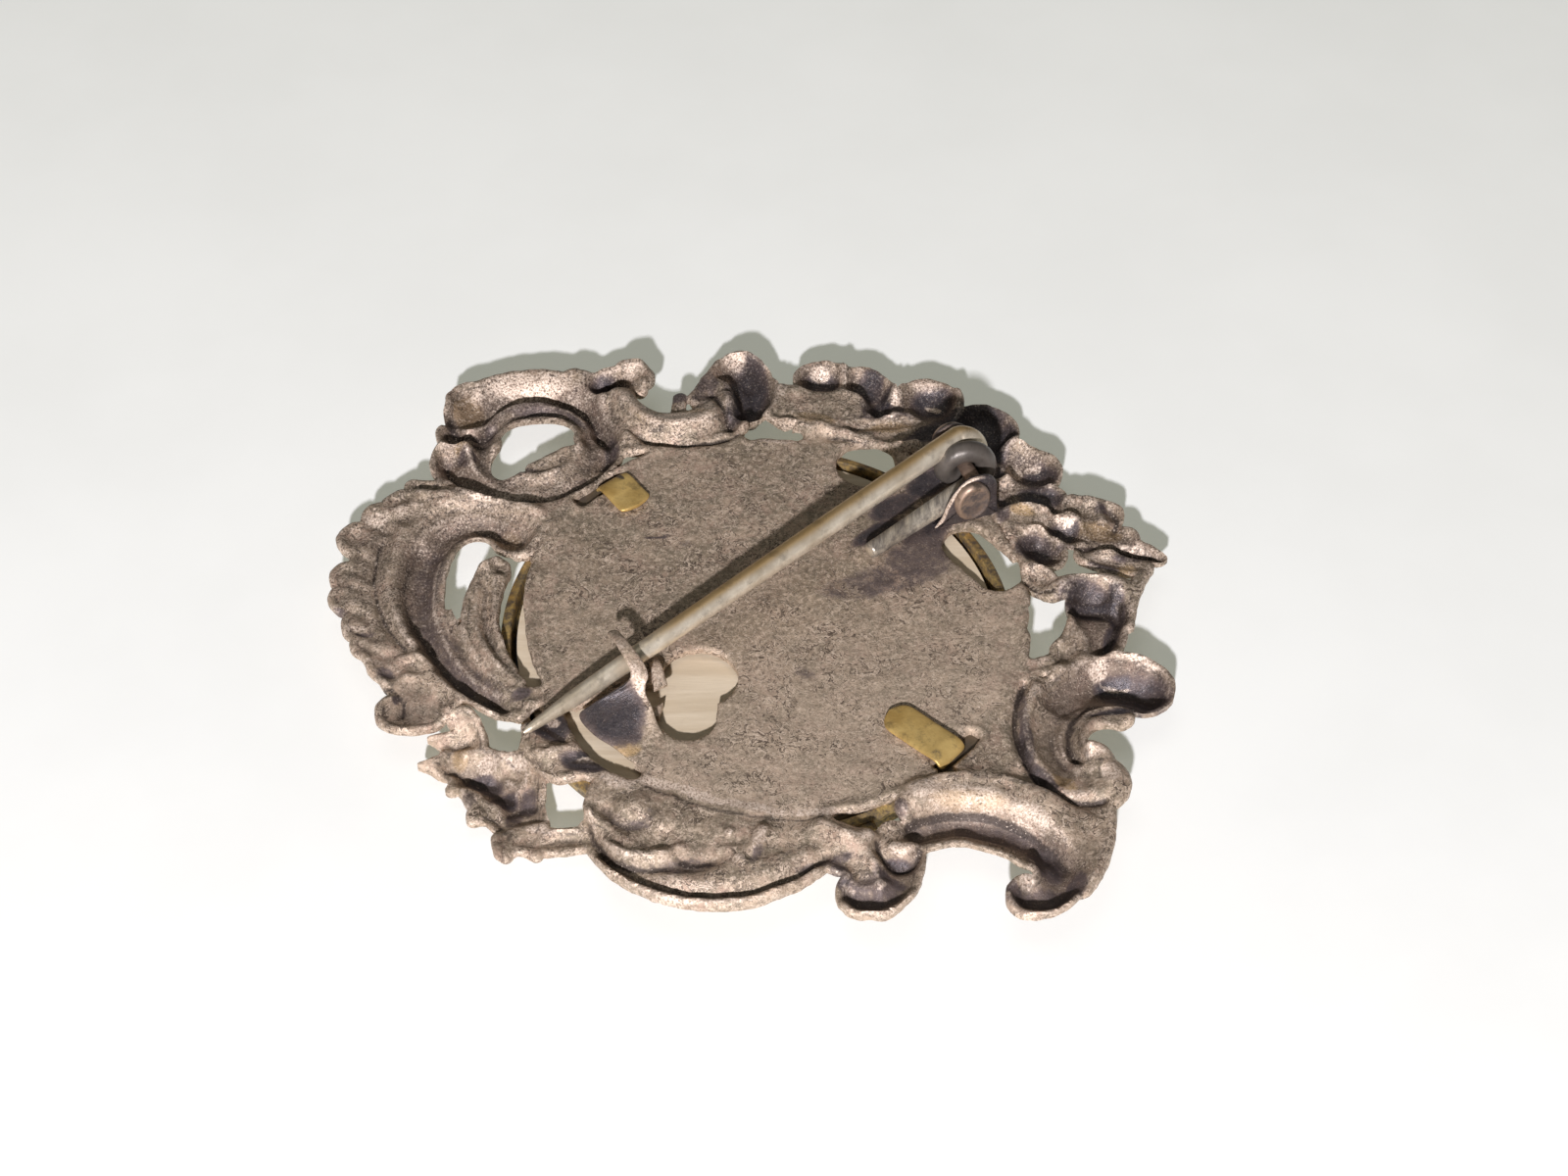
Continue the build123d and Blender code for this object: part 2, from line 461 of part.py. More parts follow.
def rings_solid(rings):
    """A solid between closed rings of points, capped at both ends."""
    faces, count = [], len(rings[0])
    for ring in (rings[0], rings[-1]):
        middle = np.mean(ring, axis=0)
        faces += [polygon([middle, ring[k], ring[(k + 1) % count]]) for k in range(count)]
    for ring, following in zip(rings, rings[1:]):
        for k in range(count):
            m = (k + 1) % count
            faces.append(polygon([ring[k], ring[m], following[m]]))
            faces.append(polygon([ring[k], following[m], following[k]]))
    return solid_from(faces)


def tube(path, radii, sides=10):
    """A faceted round wire along a path, with a radius at each point."""
    path = np.array(path, float)
    tangent = np.gradient(path, axis=0)
    tangent /= np.linalg.norm(tangent, axis=1)[:, None]
    across = np.cross(tangent[0], [0.0, 0.0, 1.0])
    rings = []
    turn = np.arange(sides) * 2 * pi / sides
    for point, along, radius in zip(path, tangent, radii):
        across = across - along * (across @ along)
        across /= np.linalg.norm(across)
        upward = np.cross(along, across)
        rings.append(point + radius * (np.outer(np.cos(turn), across) + np.outer(np.sin(turn), upward)))
    return rings_solid(rings)


def strip(folds, thickness):
    """A bent strip of sheet through the fold lines."""
    shift = np.array([plate_x, plate_y, plate_top])
    left = np.array([[f.x0, f.y0, f.h0] for f in folds]) + shift
    right = np.array([[f.x1, f.y1, f.h1] for f in folds]) + shift
    forward = np.gradient((left + right) / 2, axis=0)
    normal = np.cross(right - left, forward)
    rise = normal / np.linalg.norm(normal, axis=1)[:, None] * thickness / 2
    return rings_solid([list(ring) for ring in zip(left - rise, right - rise, right + rise, left + rise)])


def hinge_point(along, out, up):
    """A point of the hinge from its axis: along the rivet, out to the side and up."""
    turn = radians(hinge_angle)
    x = plate_x + hinge_x + along * cos(turn) - out * sin(turn)
    y = plate_y + hinge_y + along * sin(turn) + out * cos(turn)
    return np.array([x, y, plate_top + rivet_height + up])


plan_points, plan_triangles = tidy_mesh(*cut_mesh())
plate_x, plate_y = -(plan_points.max(axis=0) + plan_points.min(axis=0)) / 2
rivet_plane = Plane(origin=tuple(hinge_point(0, 0, 0)), x_dir=(0, 0, 1),
                    z_dir=(cos(radians(hinge_angle)), sin(radians(hinge_angle)), 0))
ear_faces = {"lower": (lower_ear, lower_ear + sheet_thickness),
             "upper": (upper_ear - sheet_thickness, upper_ear)}
bezel_place = Plane(origin=(plate_x + bezel_x, plate_y + bezel_y, 0))


def tab_plane(angle, height):
    """A level plane on the bezel's axis, turned to a tab."""
    return Plane(origin=(plate_x + bezel_x, plate_y + bezel_y, height),
                 x_dir=(cos(radians(angle)), sin(radians(angle)), 0), z_dir=(0, 0, 1))


# The stamping with its two hinge ears and the catch tongue: one piece of sheet
with BuildPart() as stamped_frame:
    add(stamping(plan_points, plan_triangles))
    for start, end in ear_faces.values():
        with BuildSketch(rivet_plane.offset(start)):
            Circle(ear_radius)
            with BuildLine():
                Polyline((0, ear_radius), (-rivet_height - half_sheet, ear_foot),
                         (-rivet_height - half_sheet, -ear_foot), (0, -ear_radius), close=True)
            make_face()
            Circle(rivet_radius + ear_clearance, mode=Mode.SUBTRACT)
        extrude(amount=end - start)
    add(strip(list(catch_folds.values()), catch_thickness))
    for tab in tabs.values():
        with BuildSketch(tab_plane(tab.slot_angle, plate_bottom - sheet_thickness)):
            with Locations((bezel_radius - bezel_wall / 2, 0)):
                Rectangle(bezel_wall + 2 * slot_clearance, tab.slot_length)
        extrude(amount=3 * sheet_thickness, mode=Mode.SUBTRACT)

# The brass bezel: wall and front lip, two tabs folded over the plate, one lug bent outward
tab_bottom = plate_top + piece_gap
with BuildPart() as bezel:
    with BuildSketch(bezel_place):
        Circle(bezel_radius)
        Circle(bezel_radius - bezel_wall, mode=Mode.SUBTRACT)
    extrude(amount=bezel_top)
    with BuildSketch(bezel_place):
        Circle(bezel_radius)
        Circle(bezel_radius - bezel_wall - bezel_lip, mode=Mode.SUBTRACT)
    extrude(amount=bezel_wall)
    for tab in tabs.values():
        with BuildSketch(tab_plane(tab.angle, bezel_top - bezel_wall)):
            with Locations((bezel_radius - bezel_wall / 2, 0)):
                Rectangle(bezel_wall, tab_width)
        extrude(amount=tab_bottom + tab_thickness - bezel_top + bezel_wall)
        with BuildSketch(tab_plane(tab.angle, tab_bottom)):
            with Locations((bezel_radius - tab.length / 2, 0)):
                RectangleRounded(tab.length, tab_width, 0.3)
            with Locations((bezel_radius - bezel_wall, 0)):
                Rectangle(2 * bezel_wall, tab_width)
        extrude(amount=tab_thickness)
    with BuildSketch(tab_plane(lug_angle, bezel_top - 1.6 * bezel_wall)):
        with Locations((bezel_radius + lug_reach / 2 - bezel_wall / 2, 0)):
            Rectangle(lug_reach + bezel_wall, lug_width)
    extrude(amount=tab_thickness)

# The stone: flat back, girdle, and a low dome to the front
stone_radius = bezel_radius - bezel_wall - stone_gap
girdle = bezel_wall + 2 * piece_gap
stone_back = girdle + stone_rim + stone_dome
with BuildPart() as cabochon:
    with BuildSketch(Plane(origin=bezel_place.origin, x_dir=(1, 0, 0), z_dir=(0, -1, 0))):
        with BuildLine():
            dome_edge = bezel_radius - bezel_wall - bezel_lip - stone_gap
            dome = RadiusArc((dome_edge, girdle), (0, girdle - stone_dome + piece_gap),
                             (dome_edge**2 + (stone_dome - piece_gap)**2) / (2 * (stone_dome - piece_gap)))
            Polyline(dome @ 1, (0, stone_back), (stone_radius, stone_back), (stone_radius, girdle), dome @ 0)
        make_face()
    revolve(axis=Axis(bezel_place.origin, (0, 0, 1)))

# The card that backs the stone
with BuildPart() as backing_card:
    with BuildSketch(bezel_place.offset(stone_back + piece_gap)):
        Circle(bezel_radius - bezel_wall - card_gap)
    extrude(amount=card_thickness)

# The hinge rivet: a round shank through the ears, and a low domed head outside each
with BuildPart() as hinge_rivet:
    first = upper_ear - sheet_thickness - piece_gap
    last = lower_ear + sheet_thickness + piece_gap
    with BuildSketch(rivet_plane.offset(first)):
        Circle(rivet_radius)
    extrude(amount=last - first)
    for place, way in ((first, -1), (last, 1)):
        with BuildSketch(rivet_plane.offset(place)):
            Circle(rivet_head_radius)
        extrude(amount=way * rivet_head_height, taper=40)

# The pin: tail, one and a half turns round the rivet, and the stem to its point
turns = np.linspace(0, 3 * pi, 37)
tail_shift = stem_shift + 1.5 * coil_pitch * 1.015
slides = np.linspace(tail_shift, stem_shift, len(turns))
coil = [hinge_point(s, coil_radius * sin(q), -coil_radius * cos(q)) for s, q in zip(slides, turns)]
stem_way = np.array([cos(radians(stem_angle)), sin(radians(stem_angle)), 0.0])
up = np.array([0.0, 0.0, 1.0])
fall = (rivet_height + coil_radius - catch_height) / catch_distance
before = catch_distance * np.array([0.055, 0.18, 0.37, 0.55, 0.73, 0.92, 1.0])
beyond = catch_distance + (stem_length - catch_distance) * np.array([0.34, 0.57, 0.77, 0.91, 1.0])
stem_runs = np.concatenate([before, beyond])
stem = [coil[-1] + stem_way * run - up * fall * run for run in stem_runs]
tail_runs = np.array([tail_length, tail_length - 0.15, 3.5, 1.4])
tail_fall = (rivet_height - coil_radius - tail_height) / tail_length
tail = [coil[0] + stem_way * run - up * tail_fall * run for run in tail_runs]
slim = np.interp(stem_runs, [0, before[2], catch_distance, *beyond[[1, 3, 4]]],
                 wire_radius * np.array([1, 1, 0.88, 0.74, 0.42, tip_radius / wire_radius]))
widths = [0.85 * wire_radius] + [wire_radius] * (len(tail) - 1 + len(coil)) + list(slim)
with BuildPart() as pin_stem:
    add(tube(tail + coil + stem, widths))

os.makedirs("parts", exist_ok=True)
stamped_frame.part.label = "stamped_frame"
export_step(stamped_frame.part, "parts/stamped_frame.step")
bezel.part.label = "bezel"
export_step(bezel.part, "parts/bezel.step")
cabochon.part.label = "cabochon"
export_step(cabochon.part, "parts/cabochon.step")
backing_card.part.label = "backing_card"
export_step(backing_card.part, "parts/backing_card.step")
hinge_rivet.part.label = "hinge_rivet"
export_step(hinge_rivet.part, "parts/hinge_rivet.step")
pin_stem.part.label = "pin_stem"
export_step(pin_stem.part, "parts/pin_stem.step")
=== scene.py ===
"""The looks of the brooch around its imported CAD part."""
from collections import namedtuple
from math import cos, pi, radians, sin

import bpy
import numpy as np
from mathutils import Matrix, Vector


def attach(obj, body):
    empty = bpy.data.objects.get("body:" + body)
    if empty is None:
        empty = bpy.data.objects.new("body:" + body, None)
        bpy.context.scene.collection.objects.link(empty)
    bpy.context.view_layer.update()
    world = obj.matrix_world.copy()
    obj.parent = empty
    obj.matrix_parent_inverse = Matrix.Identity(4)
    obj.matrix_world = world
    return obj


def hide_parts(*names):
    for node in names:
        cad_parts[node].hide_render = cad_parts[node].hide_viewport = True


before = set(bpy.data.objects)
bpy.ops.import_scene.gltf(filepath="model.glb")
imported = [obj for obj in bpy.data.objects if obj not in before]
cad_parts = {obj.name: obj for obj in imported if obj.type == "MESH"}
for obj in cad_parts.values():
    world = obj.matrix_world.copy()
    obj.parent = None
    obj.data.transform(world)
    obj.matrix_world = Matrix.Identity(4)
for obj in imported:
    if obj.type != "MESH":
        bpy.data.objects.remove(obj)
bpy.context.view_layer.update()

# Sizes in millimetres, as in the CAD part.
MM = 0.001
CELL = 0.158
SHEET = 0.35
PLATE_RADIUS = 13.2
PLATE_TOP = 2.5
PLATE = np.array([1.3045, -0.2450])
EDGE_DROOP = 0.25
BEZEL = np.array([-0.85, -1.0])
BEZEL_RADIUS = 12.9
TAB_WIDTH = 1.9
TAB_SHEET = 0.24
CATCH_SHEET = 0.3
# How far from the metal its edge is followed, and how far inside it, in cells, points still move onto it.
REACH = 3.0
INNER = 0.35
GRAIN_SEED = 11

# The same scrolls and leaves as in the CAD part: each has the start, a middle point and the end of its arc,
# its half-widths along it, and a depth, minus where it stands up.
PRESSES = {
    "loop top": (-16.9, 14.6, -12.9, 16.6, -9.3, 13.0, 1.4, 1.35, 1.2, 0.9),
    "loop upper half": (-9.9, 11.9, -12.9, 14.9, -15.9, 11.9, 0.95, 0.95, 0.95, 0.7),
    "loop lower half": (-15.9, 11.9, -12.9, 8.9, -9.9, 11.9, 0.95, 0.95, 0.95, 0.7),
    "loop underside": (-17.5, 10.9, -13.5, 8.7, -9.3, 11.2, 1.1, 1.0, 1.1, 0.8),
    "loop end": (-16.9, 15.6, -16.9, 15.0, -16.9, 14.5, 1.35, 1.35, 1.35, 0.9),
    "loop side bead": (-17.7, 13.0, -17.6, 12.8, -17.5, 12.6, 0.9, 0.9, 0.9, 0.5),
    "loop side leaf": (-17.5, 11.2, -17.5, 10.7, -17.4, 10.3, 1.1, 1.2, 1.1, 0.5),
    "loop foot bead": (-19.4, 9.0, -18.9, 8.9, -18.2, 8.8, 0.5, 0.6, 0.7, 0.2),
    "loop flap": (-11.2, 11.0, -12.0, 10.5, -12.9, 10.2, 0.9, 0.8, 0.6, 0.25),
    "curl": (-9.9, 16.9, -9.3, 17.1, -8.9, 17.25, 0.85, 0.85, 0.75, 0.75),
    "curl bulb": (-8.2, 17.6, -7.8, 17.6, -7.5, 17.2, 0.85, 0.85, 0.8, -0.15),
    "curl tongue": (-7.8, 17.1, -7.6, 16.7, -7.5, 16.4, 0.6, 0.55, 0.45, 0.0),
    "curl root": (-11.2, 17.2, -10.3, 16.6, -9.5, 15.4, 0.8, 1.0, 0.9, 0.0),
    "top scroll": (-8.5, 15.7, -5.6, 13.35, -2.9, 15.0, 0.75, 1.0, 1.1, -0.5),
    "top scroll tongue": (-5.35, 14.4, -5.3, 15.0, -5.25, 15.6, 0.4, 0.4, 0.4, 0.0),
    "top scroll root": (-9.2, 13.6, -8.6, 12.6, -7.2, 12.3, 0.7, 0.9, 0.8, 0.0),
    "tall lobe": (-2.1, 18.0, -1.35, 16.9, -1.4, 14.6, 1.2, 1.4, 1.0, 1.2),
    "tall lobe flank": (-2.9, 18.2, -3.3, 16.9, -4.0, 15.6, 0.6, 0.9, 0.8, 0.0),
    "fan": (0.9, 14.9, 2.4, 15.0, 3.9, 14.9, 1.7, 1.75, 1.7, -0.1),
    "shell one": (2.3, 17.2, 2.7, 17.25, 3.2, 17.2, 1.3, 1.4, 1.3, 1.0),
    "shell two": (4.6, 17.0, 5.6, 16.3, 5.75, 14.9, 1.2, 1.1, 0.8, 1.0),
    "shell bead": (6.7, 15.4, 6.8, 15.2, 6.9, 15.0, 0.8, 0.8, 0.8, 0.6),
    "shell three": (8.3, 15.6, 8.6, 15.5, 8.9, 15.3, 1.6, 1.65, 1.6, 1.0),
    "shell leaf": (4.6, 13.1, 7.0, 13.4, 9.6, 14.0, 0.8, 1.1, 1.0, 0.4),
    "shell four": (11.3, 13.6, 11.5, 13.4, 11.7, 13.1, 1.7, 1.75, 1.7, 1.2),
    "hinge hollow": (9.6, 12.4, 10.9, 11.9, 12.1, 10.7, 1.1, 1.3, 1.3, 0.9),
    "shell five": (13.2, 10.6, 13.6, 10.4, 14.0, 10.2, 1.5, 1.6, 1.55, 1.1),
    "shell six": (12.3, 8.6, 13.5, 8.5, 14.6, 8.1, 1.2, 1.2, 1.1, 0.7),
    "flower root": (12.4, 6.9, 13.2, 6.5, 14.0, 6.2, 1.0, 1.1, 1.0, -0.2),
    "flower upper": (15.0, 5.8, 15.2, 5.7, 15.5, 5.6, 1.0, 1.0, 1.0, 0.8),
    "flower lower": (13.9, 4.5, 14.1, 4.3, 14.3, 4.1, 1.1, 1.15, 1.1, 0.9),
    "crest upper": (15.9, 7.5, 16.8, 7.2, 17.7, 7.0, 0.85, 1.0, 0.9, 0.3),
    "crest middle": (16.4, 5.8, 17.4, 5.4, 18.4, 5.2, 1.1, 1.25, 0.9, 0.4),
    "crest point": (18.4, 4.4, 19.4, 4.2, 20.35, 3.95, 0.9, 0.75, 0.25, 0.5),
    "crest lower": (16.4, 4.1, 17.4, 3.7, 18.8, 3.3, 0.7, 0.75, 0.7, 0.3),
    "crest side": (19.5, 3.2, 18.6, 1.5, 18.0, -0.6, 0.35, 0.4, 0.5, 0.0),
    "spout bead": (13.3, 2.3, 13.6, 2.2, 13.9, 2.1, 0.85, 0.85, 0.85, 0.3),
    "spout": (14.3, 1.5, 16.2, 1.9, 17.9, 1.6, 0.6, 0.6, 0.8, -0.2),
    "spout root": (16.4, 0.8, 16.5, -1.0, 15.4, -2.9, 1.4, 1.6, 1.5, 0.6),
    "right lobe": (18.4, -4.7, 16.4, -4.4, 14.4, -5.6, 1.75, 1.6, 1.3, 1.0),
    "right scroll": (14.4, -5.6, 13.3, -8.0, 14.4, -10.6, 1.5, 1.45, 1.3, 0.45),
    "right inner rim": (17.2, -6.7, 15.1, -7.4, 15.0, -9.4, 0.7, 0.6, 0.7, 0.3),
    "right bead upper": (15.6, -9.3, 15.7, -9.3, 15.9, -9.4, 0.75, 0.75, 0.75, -0.3),
    "right bead lower": (15.5, -11.3, 16.3, -11.1, 16.3, -10.3, 1.1, 1.0, 0.9, -0.2),
    "shoulder": (7.0, -12.2, 10.5, -11.9, 13.5, -13.2, 1.2, 1.3, 1.5, -0.4),
    "shoulder side": (15.0, -12.2, 14.9, -14.2, 14.1, -16.2, 1.5, 1.35, 1.2, 0.1),
    "arch": (6.9, -13.8, 9.8, -13.4, 12.8, -14.9, 1.0, 1.15, 1.2, 0.8),
    "arch hook": (13.1, -15.0, 13.4, -16.6, 12.0, -17.4, 1.2, 1.25, 1.15, 0.65),
    "left hook": (5.9, -14.3, 6.0, -16.0, 4.9, -17.3, 1.15, 1.1, 1.35, 0.5),
    "left hook end": (4.2, -17.3, 4.4, -17.2, 4.6, -17.2, 1.3, 1.4, 1.3, 0.6),
    "cartouche band": (-8.4, -14.2, -3.8, -17.0, 2.3, -14.7, 0.95, 1.1, 1.1, 0.2),
    "cartouche field": (-6.5, -12.8, -3.0, -14.2, 1.5, -13.5, 1.8, 1.9, 1.4, 0.15),
    "cartouche boss": (-6.6, -12.4, -6.5, -12.4, -6.4, -12.4, 1.25, 1.25, 1.25, -0.35),
    "cartouche root": (2.2, -13.8, 3.6, -14.6, 5.0, -15.0, 1.0, 1.1, 1.0, -0.2),
    "hook link": (2.6, -15.2, 3.3, -15.6, 4.2, -15.8, 0.7, 0.7, 0.7, 0.2),
    "rocaille": (-15.4, -9.7, -13.7, -11.2, -12.2, -13.3, 1.2, 1.75, 1.4, 0.3),
    "rocaille spike one": (-15.9, -8.6, -16.5, -8.3, -17.0, -8.2, 0.7, 0.4, 0.15, 0.0),
    "rocaille spike two": (-16.1, -10.0, -16.8, -9.9, -17.4, -9.8, 0.7, 0.4, 0.15, 0.0),
    "rocaille spike three": (-15.5, -11.1, -15.7, -11.3, -15.9, -11.35, 0.5, 0.4, 0.25, 0.0),
    "rocaille spike four": (-14.3, -12.7, -14.5, -12.95, -14.6, -13.1, 0.55, 0.5, 0.35, 0.0),
    "rocaille spike five": (-13.0, -14.4, -12.95, -14.8, -12.8, -15.2, 0.6, 0.5, 0.35, 0.0),
    "rocaille spike six": (-11.6, -14.8, -11.5, -15.0, -11.4, -15.2, 0.5, 0.45, 0.35, 0.0),
    "rocaille foot": (-12.1, -14.3, -10.4, -14.5, -8.6, -14.0, 0.9, 0.7, 0.8, 0.2),
    "rocaille bridge": (-12.6, -9.7, -11.2, -10.0, -9.8, -9.8, 0.9, 0.9, 0.9, 0.2),
    "rocaille side": (-12.3, -12.8, -12.1, -11.6, -12.2, -10.3, 1.0, 1.0, 1.0, 0.2),
    "catch dish one": (-10.9, -8.0, -10.7, -8.1, -10.5, -8.3, 1.0, 1.0, 1.0, 0.7),
    "catch dish two": (-9.5, -9.6, -9.1, -9.8, -8.6, -10.0, 0.75, 0.8, 0.75, 0.6),
    "catch root": (-8.3, -12.8, -8.2, -11.9, -7.9, -11.0, 0.9, 0.9, 0.9, 0.0),
    "gap strip": (-12.0, -7.9, -12.0, -8.8, -12.1, -9.6, 0.7, 0.75, 0.8, -0.1),
    "leaf strip": (-15.5, -7.0, -15.0, -8.0, -14.9, -9.2, 0.8, 0.7, 0.8, 0.0),
    "leaf arch": (-13.7, 5.2, -15.9, 6.6, -18.1, 4.4, 1.25, 1.3, 1.35, 0.8),
    "leaf channel": (-18.2, 4.4, -17.6, -0.9, -13.0, -6.2, 1.35, 1.35, 0.95, 0.9),
    "leaf field": (-19.5, 7.2, -20.5, 1.1, -16.9, -5.3, 1.6, 1.8, 1.5, 0.2),
    "leaf tip": (-20.9, 6.7, -20.8, 6.4, -20.7, 6.0, 1.1, 1.2, 1.2, 0.3),
    "leaf lobe one": (-21.9, 5.2, -21.7, 5.1, -21.4, 5.0, 1.2, 1.2, 1.2, 0.16),
    "leaf lobe two": (-22.2, 2.6, -21.9, 2.6, -21.6, 2.6, 1.0, 1.0, 1.0, 0.16),
    "leaf lobe three": (-21.9, 1.1, -21.6, 1.0, -21.3, 0.9, 1.15, 1.15, 1.15, 0.16),
    "leaf lobe four": (-21.1, -0.7, -20.8, -0.7, -20.5, -0.7, 1.1, 1.1, 1.1, 0.16),
    "leaf lobe five": (-20.6, -1.9, -20.4, -1.9, -20.1, -1.9, 1.0, 1.0, 1.0, 0.16),
    "leaf lobe six": (-19.6, -3.2, -19.4, -3.2, -19.1, -3.2, 1.05, 1.05, 1.05, 0.16),
    "leaf heel": (-18.6, -6.4, -18.0, -6.5, -17.2, -6.6, 1.25, 1.2, 1.0, 0.3),
    "leaf inner": (-14.55, 2.75, -14.9, -0.8, -13.2, -4.8, 0.85, 1.15, 0.8, 0.1),
    "leaf root": (-13.6, -5.9, -12.7, -5.8, -11.8, -5.6, 0.7, 0.7, 0.7, 0.0),
    "leaf link": (-18.6, 8.2, -15.3, 7.7, -12.2, 6.7, 0.8, 0.7, 1.1, -0.1),
    "slot web": (-10.0, 10.9, -11.0, 9.2, -11.9, 7.0, 1.2, 1.3, 1.2, 0.0),
    "arch web": (-12.3, 6.6, -12.9, 5.5, -13.25, 4.2, 0.8, 0.8, 0.6, 0.0),
    "link web": (-18.9, 7.6, -18.4, 6.9, -17.8, 6.4, 0.6, 0.6, 0.6, 0.1),
    "top web": (-9.2, 12.1, -6.0, 12.3, -2.4, 13.1, 0.9, 0.9, 1.0, 0.0),
    "fan web": (1.9, 13.7, 3.2, 13.3, 4.7, 12.9, 0.6, 0.7, 0.7, 0.0),
    "hinge web": (5.9, 12.4, 8.6, 12.0, 11.1, 9.7, 1.0, 1.5, 1.6, 0.0),
    "ear web": (11.5, 9.2, 12.2, 7.8, 12.8, 6.4, 1.2, 1.1, 0.7, 0.0),
    "right web": (12.1, -3.6, 11.9, -6.5, 10.3, -9.8, 1.0, 1.4, 1.6, 0.0),
    "corner web": (11.5, -10.4, 12.3, -10.7, 13.1, -11.0, 0.8, 0.8, 0.8, 0.0),
    "spout web": (12.9, -3.8, 13.5, -3.6, 14.1, -3.4, 0.6, 0.6, 0.6, 0.0),
    "side web": (12.3, 6.3, 12.95, 4.4, 13.45, 2.6, 0.5, 0.45, 0.5, 0.0),
}

# The openings, each an arc with half-widths.
GAPS = {
    "loop hole": (-13.9, 12.85, -13.0, 13.0, -12.05, 12.85, 1.1, 1.1, 1.1),
    "loop hole foot": (-13.6, 12.2, -14.1, 11.3, -14.4, 10.85, 0.9, 0.95, 1.05),
    "leaf hole": (-15.8, 4.5, -16.4, 2.3, -16.6, 0.7, 0.7, 0.75, 0.45),
    "leaf slit": (-13.05, 3.3, -13.4, -0.7, -11.95, -4.7, 0.4, 0.68, 0.35),
    "point hole": (-13.4, -7.7, -13.3, -8.2, -13.2, -8.7, 0.95, 0.9, 0.7),
    "rocaille hole": (-10.3, -11.6, -10.2, -12.3, -10.0, -12.9, 0.75, 0.9, 0.9),
    "tongue cut": (-10.1, -6.6, -8.9, -8.75, -6.85, -10.4, 0.3, 0.5, 0.45),
    "heart upper": (-3.95, -4.4, -3.75, -4.4, -3.6, -4.5, 1.75, 1.8, 1.8),
    "heart lower": (-4.0, -5.8, -4.15, -6.4, -4.25, -7.0, 1.25, 1.35, 1.42),
    "hook cut": (-5.2, -5.3, -6.2, -5.6, -7.3, -5.9, 0.5, 0.75, 0.9),
    "tongue hole": (-8.9, -7.2, -7.9, -7.6, -7.0, -7.6, 1.2, 1.5, 1.3),
    "tongue heel": (-8.4, -8.2, -7.6, -8.8, -7.0, -9.2, 0.9, 0.9, 0.6),
    "top slit": (-1.3, 12.65, 0.0, 12.75, 1.2, 12.5, 0.4, 0.5, 0.4),
    "ear cut round": (4.85, 10.35, 4.9, 10.35, 4.95, 10.35, 1.55, 1.6, 1.55),
    "ear cut oval": (10.05, 4.5, 10.85, 3.55, 11.6, 2.6, 1.25, 1.3, 1.25),
    "crest gap": (15.1, 2.8, 15.9, 2.75, 16.6, 2.7, 0.35, 0.4, 0.3),
    "spout gap": (13.4, 0.2, 13.65, -1.0, 13.4, -2.5, 0.4, 0.75, 0.35),
    "shoulder slit": (3.2, -13.0, 3.9, -13.1, 4.5, -13.1, 0.35, 0.5, 0.6),
    "lower slot end": (9.3, -8.9, 9.55, -8.5, 9.7, -8.2, 0.3, 0.42, 0.38),
    "upper slot end": (-10.2, 7.9, -9.8, 8.1, -9.4, 8.4, 0.3, 0.38, 0.3),
}

